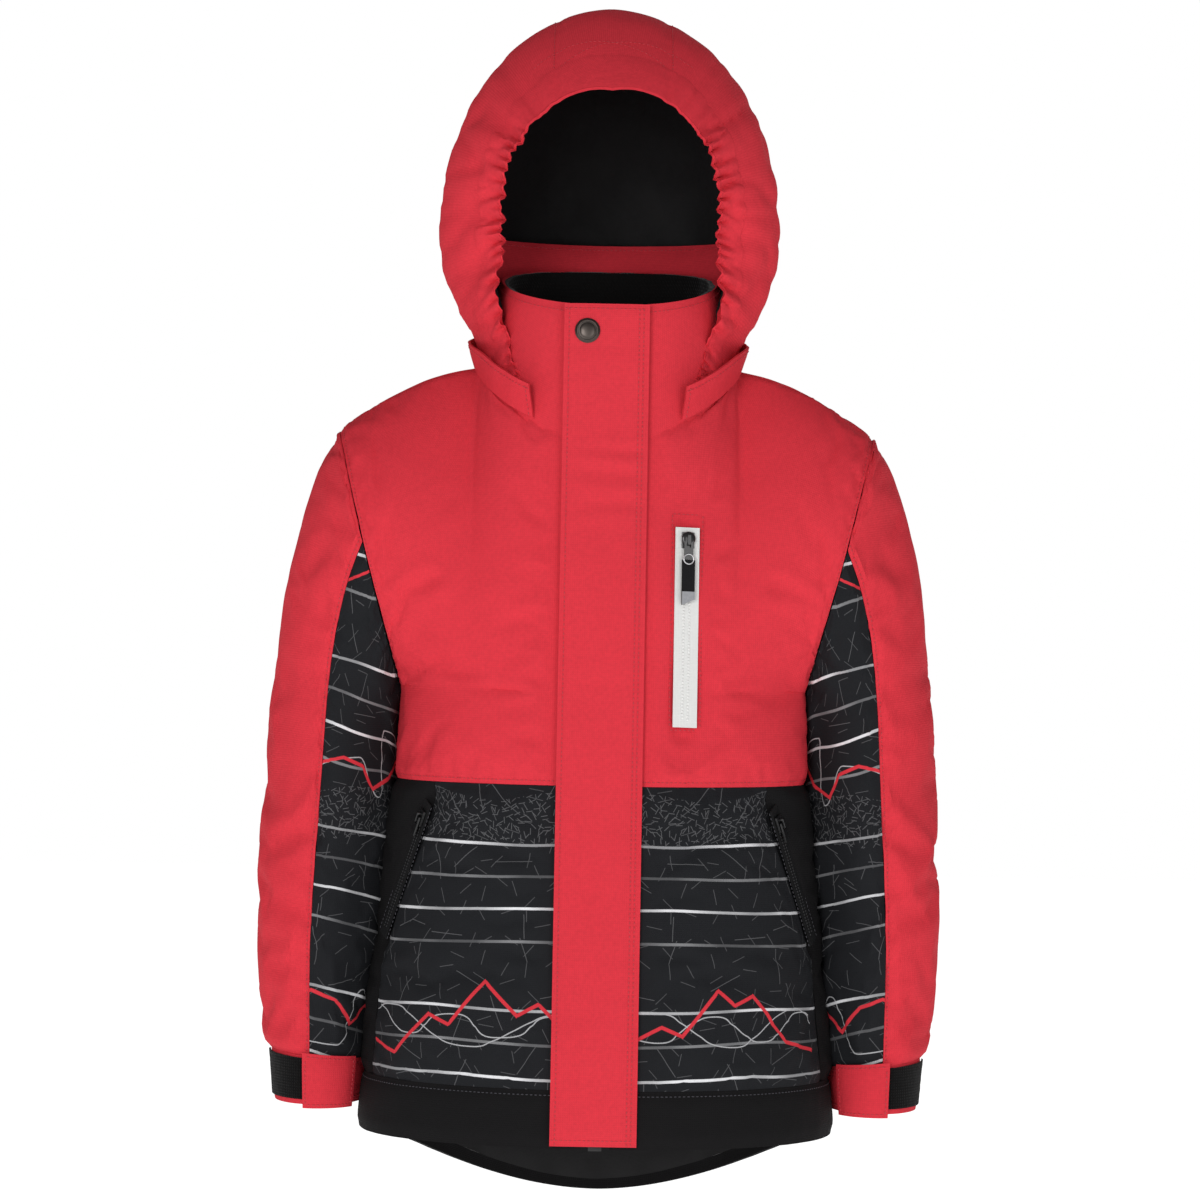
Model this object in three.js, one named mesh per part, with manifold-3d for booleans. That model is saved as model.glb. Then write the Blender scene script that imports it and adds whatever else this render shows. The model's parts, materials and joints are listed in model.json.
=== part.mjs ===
// A child's insulated ski jacket, shown filled out as if it were worn, with the hood up and the sleeves hanging.
// Millimetres. +Z is up, the front faces -Y, and +X is the wearer's left side.
// The origin is the middle of the neck opening, level with the shoulders, where a wearer or a hanger holds it.
import * as THREE from "three";
import { mergeVertices } from "three/addons/utils/BufferGeometryUtils.js";
import Module from "manifold-3d";

const wasm = await Module();
wasm.setup();
const { lerp, smoothstep, degToRad, clamp } = THREE.MathUtils;
const V = (x, y, z) => new THREE.Vector3(x, y, z);

// ---------- Driving dimensions ----------
const hemZ = -520; // front and side hem
const tailDrop = 58; // how much lower the back hem hangs
const bandHeight = 39; // hem band
const yokeZ = -277; // seam between the plain top and the printed bottom
const underarmZ = -213;
const hemHalfWidth = 166;
const waistHalfWidth = 155;
const chestHalfWidth = 143;
const frontAtHem = -120; // how far the centre front stands forward at the hem
const frontLean = 0.0996; // how much the centre front leans back for each millimetre up
const backAtHem = 112;
const backAtChest = 114;
const backAtBlades = 120;
const neckHalfWidth = 88;
const neckFrontZ = -38;
const neckBackZ = 22;
const neckBackY = 80;
const neckAxisY = 4;
const shoulderReach = 44; // the shoulder point lies this far outside the chest
const shoulderTip = V(chestHalfWidth + shoulderReach, 6, -35);
const underarm = V(chestHalfWidth - 2, 6, underarmZ);
const armholeHalfDepth = 62;
const shoulderBow = 9;
const collarTopFrontZ = 52;
const collarTopBackZ = 84;
const collarTopHalfWidth = 76;
const collarTopBackY = 66;
const cuffZ = -504;
const cuffHeight = 27;
const cuffHalfDepth = 46;
const sleeveBackset = 20; // how far behind the side of the body a sleeve hangs
const hoodHalfWidth = 119;
const hoodMidY = 15;
const hoodMidZ = 110;
const hoodRise = 153;
const hoodFall = 150;
const hoodBackReach = 135;
const centrePanelHalf = 38; // middle strip of the hood
const shell = [-2.5, 0]; // outer cloth, inwards from the surface
const insulation = [-12.6, -8.2]; // quilted lining
const bagLayer = [-6.6, -5.5]; // pocket bags, between shell and lining
const seam = 0.3; // each edge stops this far short of its seam
const tapeGap = 9; // half the channel that the front zip lies in
const flapLeft = -30.5;
const flapHinge = 28;
const flapThick = 3;
const flapStandoff = 1; // from the front surface
const sliderPlay = 0.35;

// ---------- Body surface ----------
const curveOf = (pairs) => new THREE.SplineCurve(pairs.map(([t, v]) => new THREE.Vector2(t, v)));
// Value at x on a smooth curve through points whose first numbers rise.
function along(curve, x) {
  let lo = 0;
  let hi = 1;
  for (let i = 0; i < 28; i++) {
    const mid = (lo + hi) / 2;
    if (curve.getPoint(mid).x < x) lo = mid;
    else hi = mid;
  }
  return curve.getPoint((lo + hi) / 2).y;
}
const tailZ = hemZ - tailDrop;
const widthCurve = curveOf([
  [tailZ - 20, hemHalfWidth + 4],
  [hemZ, hemHalfWidth],
  [-400, waistHalfWidth],
  [yokeZ, chestHalfWidth],
  [underarmZ, chestHalfWidth - 1],
]);
const backCurve = curveOf([
  [tailZ - 20, backAtHem + 2],
  [hemZ, backAtHem],
  [-400, backAtHem - 4],
  [yokeZ, backAtChest],
  [-140, backAtBlades],
  [-40, 104],
  [neckBackZ, neckBackY],
]);
const frontY = (z) => frontAtHem + frontLean * (z - hemZ);
const backY = (z) => along(backCurve, z);

// A level ring round the body. turn is 0 at the centre front, 90 at the side and 180 at the centre back.
function ring(turn, z) {
  const a = degToRad(turn);
  const wide = along(widthCurve, z);
  if (Math.cos(a) >= 0) {
    const side = Math.sign(Math.sin(a)) || 1;
    return V(side * (tapeGap + (wide - tapeGap) * Math.abs(Math.sin(a))), frontY(z) * Math.cos(a), z);
  }
  return V(wide * Math.sin(a), -backY(z) * Math.cos(a), z);
}
const tail = (turn) => smoothstep(Math.abs(turn > 180 ? turn - 360 : turn), 95, 180);
const lowerEdge = (turn) => hemZ - tailDrop * tail(turn);

// The neck seam, level at the back and dipping at the front.
function neck(turn) {
  const a = degToRad(turn);
  const c = Math.cos(a);
  const dip = (neckBackZ - neckFrontZ) * ((1 + c) / 2) ** 2.6;
  const x = c > 0 ? tapeGap + (neckHalfWidth - tapeGap) * Math.sin(a) : neckHalfWidth * Math.sin(a);
  const y = c > 0 ? lerp(neckAxisY, frontY(neckFrontZ), c) : lerp(neckAxisY, neckBackY, -c);
  return V(x, y, neckBackZ - dip);
}

// The armhole is a flat oval from underarm to shoulder tip. turn is 0 at the underarm, 90 in front.
const armholeUp = shoulderTip.clone().sub(underarm);
const armholeHalf = armholeUp.length() / 2;
armholeUp.normalize();
const armholeMid = shoulderTip.clone().add(underarm).multiplyScalar(0.5);
function armhole(turn) {
  const a = degToRad(turn);
  return armholeMid
    .clone()
    .addScaledVector(armholeUp, -armholeHalf * Math.cos(a))
    .add(V(0, -armholeHalfDepth * Math.sin(a), 0));
}

const sideSeam = 0.26; // share of a side edge that lies below the armhole
const neckShare = 0.42; // share of a top edge that lies on the neck
// A patch from yoke seam to shoulder, blended between its four edges. u is 0 at the centre and 1 at the side.
function upper(front) {
  const across = (u) => (front ? 90 * u : 180 - 90 * u);
  const bottom = (u) => ring(across(u), yokeZ);
  const side = (v) => {
    if (v < sideSeam) return ring(90, yokeZ).lerp(underarm, v / sideSeam);
    return armhole((front ? 180 : -180) * ((v - sideSeam) / (1 - sideSeam)));
  };
  const top = (u) => {
    if (u < neckShare) return neck(across(u / neckShare));
    const t = (u - neckShare) / (1 - neckShare);
    return neck(90).lerp(shoulderTip, t).add(V(0, 0, shoulderBow * Math.sin(Math.PI * t)));
  };
  const middle = (v) => {
    const z = lerp(yokeZ, front ? neckFrontZ : neckBackZ, v);
    return front ? V(tapeGap, frontY(z), z) : V(0, backY(z), z);
  };
  return (u, v) => {
    const rise = v ** 2.5;
    const spread = 1 - Math.cos((u * Math.PI) / 2);
    const corner = bottom(0).multiplyScalar((1 - spread) * (1 - rise));
    corner.addScaledVector(bottom(1), spread * (1 - rise));
    corner.addScaledVector(top(0), (1 - spread) * rise);
    corner.addScaledVector(top(1), spread * rise);
    return bottom(u)
      .multiplyScalar(1 - rise)
      .addScaledVector(top(u), rise)
      .addScaledVector(middle(v), 1 - spread)
      .addScaledVector(side(v), spread)
      .sub(corner);
  };
}
const frontPatch = upper(true);
const backPatch = upper(false);

// Outwards from a T-shaped core inside the body, so that panels sharing an edge also share its thickness.
function bodyOut(p) {
  const reach = 110 * smoothstep(p.z, -260, -110);
  const core = V(clamp(p.x, -reach, reach), neckAxisY, Math.min(p.z, -110));
  return p.clone().sub(core).normalize();
}

// ---------- Sleeve surface ----------
const besideBody = (z) => along(widthCurve, z) * 0.984 + 1.5;
const outerLine = new THREE.CatmullRomCurve3([
  shoulderTip,
  V(shoulderTip.x + 17, 12, -78),
  V(shoulderTip.x + 33, 18, -150),
  V(shoulderTip.x + 45, sleeveBackset, -280),
  V(shoulderTip.x + 48, sleeveBackset, -380),
  V(shoulderTip.x + 39, sleeveBackset, cuffZ),
]);
const innerLine = new THREE.CatmullRomCurve3([
  underarm,
  V(underarm.x + 2.5, 12, underarmZ - 13),
  V(underarm.x + 5, 18, underarmZ - 39),
  V(besideBody(-320) + 1, sleeveBackset, -320),
  V(besideBody(-400), sleeveBackset, -400),
  V(besideBody(cuffZ), sleeveBackset, cuffZ),
]);
const sleeveDepth = curveOf([
  [0, armholeHalfDepth],
  [0.25, 61],
  [0.6, 55],
  [1, cuffHalfDepth],
]);
function sleeveMid(t) {
  return outerLine.getPoint(t).add(innerLine.getPoint(t)).multiplyScalar(0.5);
}
// turn is 0 on the side next to the body, 90 in front and 180 outside. t runs from the armhole to the cuff.
function sleeve(turn, t) {
  const a = degToRad(turn);
  const mid = sleeveMid(t);
  const reach = outerLine.getPoint(t).sub(mid).multiplyScalar(-Math.cos(a));
  return mid.add(reach).add(V(0, -along(sleeveDepth, t) * Math.sin(a), 0));
}
const sleeveOut = (p, turn, t) => p.clone().sub(sleeveMid(t)).normalize();

// ---------- Hood surface ----------
const rimShare = curveOf([
  [0, 0.56],
  [62, 0.64],
  [102, 0.644],
  [130, 0.832],
  [147, 0.871],
  [181, 0.9],
]);
const rimY = curveOf([
  [0, -76],
  [60, -62],
  [100, -42],
  [147, -50],
  [181, -50],
]);
const hoodStandoff = 3.1; // how far the hood's lower edge lies outside the collar
// The point level with p, in the same direction from the neck, that stands a little outside the collar.
function besideCollar(p, standoff) {
  const away = V(p.x, p.y - neckAxisY, 0).normalize();
  const c = -away.y;
  const up = clamp((p.z - lerp(neckBackZ, neckFrontZ, ((1 + c) / 2) ** 2.6)) / 66, 0, 1);
  const wide = lerp(neckHalfWidth, collarTopHalfWidth, up);
  const deep = c > 0 ? neckAxisY - lerp(frontY(neckFrontZ), frontY(collarTopFrontZ), up) : 76;
  const reach = 1 / Math.hypot(away.x / (wide + (c > 0 ? 3 * c : 0)), away.y / deep);
  return away.multiplyScalar(reach + standoff).add(V(0, neckAxisY, 0));
}
const frontShare = 0.42; // share of t between rim and widest section
// turn is 0 at the top of the head and 180 below. t is 0 at the face and 1 at the back of the head.
function hood(turn, t) {
  const spin = Math.abs(turn > 180 ? turn - 360 : turn);
  const a = degToRad(turn);
  let share;
  let y;
  if (t < frontShare) {
    const back = 1 - t / frontShare;
    share = 1 - (1 - along(rimShare, spin)) * back ** 1.8;
    y = lerp(hoodMidY, along(rimY, spin), back);
  } else {
    const lift = ((t - frontShare) / (1 - frontShare)) * (Math.PI / 2);
    share = Math.cos(lift);
    y = hoodMidY + hoodBackReach * Math.sin(lift);
  }
  const tall = Math.cos(a) > 0 ? hoodRise : hoodFall;
  const p = V(hoodHalfWidth * Math.sin(a) * share, y, hoodMidZ + tall * Math.cos(a) * share);
  const low = clamp((hoodMidZ - p.z) / 95, 0, 1.2) ** 1.3;
  if (p.y > hoodMidY) p.y = lerp(p.y, hoodMidY, 0.36 * low);
  const target = besideCollar(p, hoodStandoff);
  const back = clamp(p.y / 80, 0, 1);
  const pull = smoothstep(-p.z, lerp(-72, -110, back), lerp(-14, -36, back));
  return V(lerp(p.x, target.x, pull), lerp(p.y, target.y, pull), p.z);
}
const hoodOut = (p) => p.clone().sub(V(0, hoodMidY, hoodMidZ)).normalize();

// ---------- Solids ----------
function signedVolume(geometry) {
  const p = geometry.attributes.position;
  const order = geometry.index;
  const count = order ? order.count : p.count;
  const at = (i) => new THREE.Vector3().fromBufferAttribute(p, order ? order.getX(i) : i);
  let sum = 0;
  for (let i = 0; i < count; i += 3) sum += at(i).dot(at(i + 1).cross(at(i + 2)));
  return sum;
}
// Turns a geometry whose faces point inwards.
function facingOut(geometry) {
  if (signedVolume(geometry) > 0) return geometry;
  const order = geometry.index.array;
  for (let i = 0; i < order.length; i += 3) [order[i + 1], order[i + 2]] = [order[i + 2], order[i + 1]];
  return geometry;
}
function toSolid(geometry) {
  const bare = geometry.clone();
  bare.deleteAttribute("normal");
  bare.deleteAttribute("uv");
  const merged = facingOut(mergeVertices(bare, 1e-3));
  const mesh = new wasm.Mesh({
    numProp: 3,
    vertProperties: merged.attributes.position.array,
    triVerts: new Uint32Array(merged.index.array),
  });
  return new wasm.Manifold(mesh);
}
function toGeometry(solid) {
  const mesh = solid.getMesh();
  return new THREE.BufferGeometry()
    .setAttribute("position", new THREE.BufferAttribute(mesh.vertProperties, 3))
    .setIndex(new THREE.BufferAttribute(mesh.triVerts, 1));
}
const cut = (geometry, ...tools) => toGeometry(tools.reduce((s, t) => s.subtract(toSolid(t)), toSolid(geometry)));
const keep = (geometry, tool) => toGeometry(toSolid(geometry).intersect(toSolid(tool)));
const join = (...all) => toGeometry(all.map(toSolid).reduce((a, b) => a.add(b)));

function bend(geometry, place) {
  const p = geometry.attributes.position;
  for (let i = 0; i < p.count; i++) {
    const q = place(p.getX(i), p.getY(i), p.getZ(i), i);
    p.setXYZ(i, q.x, q.y, q.z);
  }
  return facingOut(mergeVertices(geometry.deleteAttribute("normal").deleteAttribute("uv"), 1e-4));
}
// Cloth cut from a surface: a box bent so that its width runs from u0 to u1, its height from v0 to v1
// and its depth through the layer. Either end of u or v may be a function of the other.
function cloth(surface, out, [u0, u1], [v0, v1], [inner, outer], [across, up]) {
  const box = new THREE.BoxGeometry(1, 1, 1, across, up, 1);
  const value = (end, t) => (typeof end === "function" ? end(t) : end);
  return bend(box, (x, y, z) => {
    const share = y + 0.5;
    let u = lerp(value(u0, share), value(u1, share), x + 0.5);
    const v = lerp(value(v0, u), value(v1, u), share);
    const p = surface(u, v);
    return p.addScaledVector(out(p, u, v), z > 0 ? outer : inner);
  });
}
// A closed band bent onto a surface that runs right round, from t0 to t1.
function sleeveBand(surface, out, [t0, t1], [inner, outer], [around, rows]) {
  const profile = [];
  for (let i = 0; i <= rows; i++) profile.push(new THREE.Vector2(2, i / rows));
  for (let i = rows; i >= 0; i--) profile.push(new THREE.Vector2(1, i / rows));
  profile.push(profile[0].clone());
  return bend(new THREE.LatheGeometry(profile, around), (x, y, z) => {
    const turn = THREE.MathUtils.radToDeg(Math.atan2(x, z));
    const t = lerp(t0, t1, y);
    const p = surface(turn, t);
    return p.addScaledVector(out(p, turn, t), Math.hypot(x, z) > 1.5 ? outer : inner);
  });
}
function block(width, depth, height, x, y, z) {
  return new THREE.BoxGeometry(width, depth, height).translate(x, y, z);
}

// ---------- Materials ----------
const finish = (color, roughness, metalness = 0) => new THREE.MeshStandardMaterial({ color, roughness, metalness });
const looks = {
  red: finish(0xdc3f47, 0.85),
  print: finish(0x2b2c30, 0.8),
  black: finish(0x252324, 0.85),
  lining: finish(0x161415, 0.7),
  fleece: finish(0x121011, 1),
  hook: finish(0x141314, 1),
  tape: finish(0x1a1919, 0.8),
  white: finish(0xe0e0dd, 0.6),
  trim: finish(0x101010, 0.35),
  snap: finish(0x4b4440, 0.4, 0.8),
  webbing: finish(0x1a1a1c, 0.75),
};
const jacket = new THREE.Group();
function add(name, geometry, look, parent = jacket) {
  const mesh = new THREE.Mesh(geometry, looks[look]);
  mesh.name = name;
  parent.add(mesh);
  return mesh;
}
function mirrored(geometry) {
  return facingOut(geometry.clone().applyMatrix4(new THREE.Matrix4().makeScale(-1, 1, 1)));
}
const sides = [
  ["left", (g) => g],
  ["right", mirrored],
];

// ---------- Zips ----------
// A straight zip in its own frame: the tape lies in the XZ plane, faces -Y, and hangs down from the origin.
const coil = 2.4; // width of the open slot that the slider's post runs in
const plateThick = 1.4;
const tapeThick = 1.2;
function zipTape(width, length, thick) {
  return cut(block(width, thick, length, 0, 0, -length / 2), block(coil, 9, length - 8, 0, 0, -length / 2));
}
// Front plate, back plate and the post between them, with a lug that the pull hangs from.
function zipSlider(width, length, tapeThick) {
  const half = tapeThick / 2 + sliderPlay;
  const y = half + plateThick / 2;
  const front = block(width, plateThick, length, 0, -y, 0);
  const back = block(width * 0.8, plateThick, length, 0, y, 0);
  const post = block(coil - 2 * sliderPlay, 2 * y, length * 0.6, 0, 0, 0);
  const face = -half - plateThick;
  const bridge = cut(block(2.2, 3.3, 6.4, 0, face - 1.45, 0), block(3, 2.1, 4, 0, face - 1.05, 0));
  return join(front, back, post, bridge);
}
// How far in front of the middle of the tape a pull's crossbar lies, under the slider's bridge.
const pullReach = tapeThick / 2 + sliderPlay + plateThick + 1.1;
const crossbarHalf = 0.6;
// A flat pull with a crossbar at the top, and a slot below it that the bridge passes through.
function zipPull(width, length, drop) {
  const body = block(width, 1.1, length, 0, -pullReach, crossbarHalf - length / 2 - drop);
  return cut(body, block(3, 6, 4.6, 0, -pullReach, -crossbarHalf - 2.3 - drop));
}
// The frame that carries a zip from its own place onto the jacket.
function zipFrame(top, bottom, out) {
  const down = bottom.clone().sub(top).normalize();
  const across = down.clone().cross(out).normalize();
  const face = across.clone().cross(down).normalize();
  const basis = new THREE.Matrix4().makeBasis(across.clone().negate(), face.clone().negate(), down.clone().negate());
  return basis.setPosition(top);
}

// ---------- Chest zip ----------
const chestZipX = 56;
const chestZipTop = -100;
const chestZipLength = 137;
const chestTapeWidth = 17;
// Point of the front patch at a given x and height, found by walking the patch.
function onFront(x, z) {
  let u = 0.3;
  let v = 0.5;
  for (let i = 0; i < 30; i++) {
    const p = frontPatch(u, v);
    u = clamp(u + (x - p.x) / 180, 0, 1);
    v = clamp(v + (z - p.z) / 300, 0, 1);
  }
  return frontPatch(u, v);
}
const chestTop = onFront(chestZipX, chestZipTop);
const chestBottom = onFront(chestZipX, chestZipTop - chestZipLength);
const chestOut = bodyOut(chestTop).add(bodyOut(chestBottom)).setZ(0).normalize();
const lift = 0.8; // the zip stands this far out of the cloth
const chestFrame = zipFrame(
  chestTop.clone().addScaledVector(chestOut, lift),
  chestBottom.clone().addScaledVector(chestOut, lift),
  chestOut,
);
const windowPlay = 0.6;
function zipWindow(frame, width, length) {
  return block(width + 2 * windowPlay, 13, length + 2 * windowPlay, 0, 2, -length / 2).applyMatrix4(frame);
}
const chestWindow = zipWindow(chestFrame, chestTapeWidth, chestZipLength);
const chestSliderDrop = 9; // the slider's middle below the top of the zip

// ---------- Hand pocket zips ----------
const pocketTop = ring(53, -291);
const pocketBottom = ring(73.5, -385);
const handZipLength = pocketTop.distanceTo(pocketBottom);
const handTapeWidth = 12;
const pocketOut = bodyOut(pocketTop).add(bodyOut(pocketBottom)).normalize();
const handLift = 1.5;
const handFrame = zipFrame(
  pocketTop.clone().addScaledVector(pocketOut, handLift),
  pocketBottom.clone().addScaledVector(pocketOut, handLift),
  pocketOut,
);
const handWindow = zipWindow(handFrame, handTapeWidth, handZipLength);
const handSliderDrop = 12;

// ---------- Body panels ----------
const bandTop = (turn) => lowerEdge(turn) + bandHeight;
const pocketEdge = (z) => lerp(74, 52.5, smoothstep(z, -395, yokeZ)); // printed front meets side panel
const backEdge = 107; // side panel meets back panel
const toZ = (share) => lerp(hemZ + bandHeight, yokeZ, share);
const byZ = (f) => (share) => f(toZ(share));
const degSeam = (seam / 150) * 57.3; // the same gap, as an angle round the body

const columns = 8; // facets across each front
const upperRows = 10;
const lowerRows = 6;
const upperGrid = [columns, upperRows];
const chest = cloth(frontPatch, bodyOut, [0.002, 0.998], [0.002, 0.998], shell, upperGrid);
const lowerFront = cloth(
  ring,
  bodyOut,
  [0.1, byZ((z) => pocketEdge(z) - degSeam)],
  [(turn) => bandTop(turn) + seam, yokeZ - seam],
  shell,
  [6, lowerRows],
);
const sidePanel = cloth(
  ring,
  bodyOut,
  [byZ((z) => pocketEdge(z) + degSeam), backEdge - degSeam],
  [(turn) => bandTop(turn) + seam, yokeZ - seam],
  shell,
  [4, lowerRows],
);
for (const [side, place] of sides) {
  add("chest_panel_" + side, place(side === "left" ? cut(chest, chestWindow) : chest), "red");
  add("lower_front_" + side, place(cut(lowerFront, handWindow)), "print");
  add("side_panel_" + side, place(cut(sidePanel, handWindow)), "black");
}
const wholeBack = (u, v) => {
  const p = backPatch(Math.abs(u), v);
  return u > 0 ? p : p.setX(-p.x);
};
add("back_yoke", cloth(wholeBack, bodyOut, [0.998, -0.998], [0.002, 0.998], shell, [2 * columns, upperRows]), "red");
add(
  "lower_back",
  cloth(
    ring,
    bodyOut,
    [backEdge + degSeam, 360 - backEdge - degSeam],
    [(turn) => bandTop(turn) + seam, yokeZ - seam],
    shell,
    [10, lowerRows],
  ),
  "print",
);
add(
  "hem_band",
  cloth(ring, bodyOut, [0.1, 359.9], [lowerEdge, (turn) => bandTop(turn) - seam], [-3.6, 0], [36, 2]),
  "black",
);

// ---------- Quilted lining ----------
const liningHem = 8; // the lining stops this far above the hem
// One run of cloth from hem to shoulder: the first part of v is the level rings.
const ringShare = lowerRows / (lowerRows + upperRows);
const liningSurface = (patch, turnOf) => (u, v) => {
  if (v > ringShare) return patch(u, (v - ringShare) / (1 - ringShare));
  const turn = turnOf(u);
  return ring(turn, lerp(lowerEdge(turn) + liningHem, yokeZ, v / ringShare));
};
const frontLining = cloth(
  liningSurface(frontPatch, (u) => 90 * u),
  bodyOut,
  [0.003, 0.997],
  [0.001, 0.97],
  insulation,
  [columns, lowerRows + upperRows],
);
for (const [side, place] of sides) {
  const windows = side === "left" ? [chestWindow, handWindow] : [handWindow];
  add("front_lining_" + side, place(cut(frontLining, ...windows)), "lining");
}
const backLiningSurface = liningSurface(backPatch, (u) => 180 - 90 * u);
const wholeBackLining = (u, v) => {
  const p = backLiningSurface(Math.abs(u), v);
  return u > 0 ? p : p.setX(-p.x);
};
const backLining = cloth(wholeBackLining, bodyOut, [0.997, -0.997], [0.001, 0.97], insulation, [
  2 * columns,
  lowerRows + upperRows,
]);
add("back_lining", backLining, "lining");

// ---------- Pocket bags ----------
const chestBag = cloth(frontPatch, bodyOut, [1 / columns, 4 / columns], [0.1, 0.6], bagLayer, [3, 5]);
const handBag = cloth(ring, bodyOut, [22, 84], [-445, -285], bagLayer, [8, 6]);
add("chest_pocket_bag", cut(chestBag, chestWindow), "lining");
for (const [side, place] of sides) add("hand_pocket_bag_" + side, place(cut(handBag, handWindow)), "lining");

// ---------- Collar ----------
const collarOut = (p) => V(p.x, p.y - neckAxisY, 0).normalize();
function collarTop(turn) {
  const a = degToRad(turn);
  const c = Math.cos(a);
  const x = c > 0 ? tapeGap + (collarTopHalfWidth - tapeGap) * Math.sin(a) : collarTopHalfWidth * Math.sin(a);
  const y = c > 0 ? lerp(2, frontY(collarTopFrontZ), c) : lerp(2, collarTopBackY, -c);
  return V(x, y, lerp(collarTopBackZ, collarTopFrontZ, ((1 + c) / 2) ** 1.4));
}
function collar(turn, v) {
  const a = turn > 180 ? 360 - turn : turn;
  const p = neck(a).lerp(collarTop(a), v);
  return turn > 180 ? p.setX(-p.x) : p;
}
add("collar", cloth(collar, collarOut, [0.1, 359.9], [0.03, 1], [-2.2, 0], [28, 3]), "red");
add("collar_lining", cloth(collar, collarOut, [0.1, 359.9], [0.05, 0.985], [-6.9, -3], [28, 3]), "fleece");
// The loose bands outside the base of the collar, which hide the hood's lower edge in front and at the sides.
const coverStart = 30;
const coverEnd = 128;
const coverHeight = 26;
function cover(turn, v) {
  const p = collar(turn, 0.02);
  return p.add(V(0, 0, v * coverHeight)).addScaledVector(collarOut(p), lerp(5.4, 16, v));
}
const coverBand = cloth(cover, collarOut, [coverStart, coverEnd], [0, 1], [-1.6, 0], [10, 2]);
for (const [side, place] of sides) add("hood_cover_band_" + side, place(coverBand), "red");
const loopRing = new THREE.Shape().absarc(0, 0, 13, Math.PI, 2 * Math.PI);
loopRing.absarc(0, 0, 10.5, 2 * Math.PI, Math.PI, true);
const loopTape = new THREE.ExtrudeGeometry(loopRing, { depth: 7, bevelEnabled: false, curveSegments: 8 });
loopTape.translate(0, neckBackY - 13.2, neckBackZ + 12);
add("hanger_loop", loopTape, "tape");

// ---------- Front zip ----------
// Down the centre front, in a frame whose origin is at the collar top and whose -Y faces forward.
const zipTop = V(0, frontY(collarTopFrontZ), collarTopFrontZ);
const zipEnd = V(0, frontY(hemZ), hemZ);
const frontLength = zipTop.distanceTo(zipEnd);
const frontOut = V(0, -1, frontLean).normalize();
const frontFrame = zipFrame(zipTop, zipEnd, frontOut);
const tapeDepth = 5; // the tape lies this far behind the front surface
const tapeHalf = zipHalf();
function zipHalf() {
  const width = tapeGap - coil / 2 - 1.3;
  return block(width, tapeThick, frontLength - 8, coil / 2 + width / 2, tapeDepth, -frontLength / 2);
}
add("zip_tape_left", tapeHalf.clone().applyMatrix4(frontFrame), "tape");
add("zip_tape_right", mirrored(tapeHalf.clone().applyMatrix4(frontFrame)), "tape");
const mainSliderDrop = 14;
const mainSlider = zipSlider(10, 14, tapeThick).translate(0, tapeDepth, -mainSliderDrop);
add("main_zip_slider", mainSlider.applyMatrix4(frontFrame), "trim");
const mainPull = zipPull(6.5, 30, mainSliderDrop).translate(0, tapeDepth, 0);
add("main_zip_pull", mainPull.applyMatrix4(frontFrame), "trim");
const boxHeight = 7;
const zipBox = cut(
  block(9, 4, boxHeight, 0, tapeDepth, -frontLength + boxHeight / 2 - 1),
  block(30, tapeThick + 0.6, boxHeight + 20, 0, tapeDepth, -frontLength + boxHeight + 8),
);
add("main_zip_box", zipBox.applyMatrix4(frontFrame), "trim");

// ---------- Storm flap ----------
const flapWidth = flapHinge - flapLeft;
const flapY = -flapStandoff - flapThick / 2;
const flapCentre = (flapLeft + flapHinge) / 2;
const flap = block(flapWidth, flapThick, frontLength - 2, flapCentre, flapY, -frontLength / 2);
const snapDrop = 19; // press stud below the top of the flap
const snapX = -14.5;
const studHole = new THREE.CylinderGeometry(3.2, 3.2, 20, 16).translate(snapX, 0, -snapDrop);
add("storm_flap", cut(flap, studHole).applyMatrix4(frontFrame), "red");
const capProfile = [
  [0, 0],
  [2.6, 0],
  [2.6, flapThick + 0.3],
  [8.4, flapThick + 0.3],
  [8.7, flapThick + 1.2],
  [7.4, flapThick + 2.1],
  [0, flapThick + 2.6],
].map(([r, h]) => new THREE.Vector2(r, h));
const onFlap = (g) => g.rotateX(Math.PI).translate(snapX, -flapStandoff, -snapDrop).applyMatrix4(frontFrame);
add("snap_cap", onFlap(new THREE.LatheGeometry(capProfile, 20)), "snap");
// The stud lies on the collar behind the flap and stops just short of the cap's rivet.
const studRise = 0.5;
const stud = new THREE.CylinderGeometry(5, 5, studRise, 16).translate(snapX, -0.25 - studRise / 2, -snapDrop);
add("snap_stud", stud.applyMatrix4(frontFrame), "snap");

// Hook strip on the back of the flap and loop strip on the front it presses against.
const stripWidth = 12;
const stripThick = 0.4;
const stripLength = 90;
const stripX = -20;
const hookStrip = block(stripWidth, stripThick, stripLength, stripX, -flapStandoff + 0.25, -300);
add("flap_hook_strip", hookStrip.applyMatrix4(frontFrame), "hook");

// ---------- Zips in the pockets ----------
const pullLength = 14;
function addZip(name, frame, place, width, length, drop, tapeLook) {
  add(name + "_tape", place(zipTape(width, length, tapeThick).applyMatrix4(frame)), tapeLook);
  const slider = zipSlider(8.6, 11, tapeThick).translate(0, 0, -drop);
  add(name + "_slider", place(slider.applyMatrix4(frame)), "trim");
  add(name + "_pull", place(zipPull(6.4, pullLength, drop).applyMatrix4(frame)), "trim");
}
addZip("chest_zip", chestFrame, (g) => g, chestTapeWidth, chestZipLength, chestSliderDrop, "white");
for (const [side, place] of sides) {
  addZip("hand_zip_" + side, handFrame, place, handTapeWidth, handZipLength, handSliderDrop, "tape");
}
const ribbonLength = 31;
const ribbonTop = -chestSliderDrop + crossbarHalf - pullLength - 0.3;
const ribbon = block(9, 1.6, ribbonLength, 0, -pullReach, ribbonTop - ribbonLength / 2);
add("chest_zip_ribbon", ribbon.applyMatrix4(chestFrame), "webbing");

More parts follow.
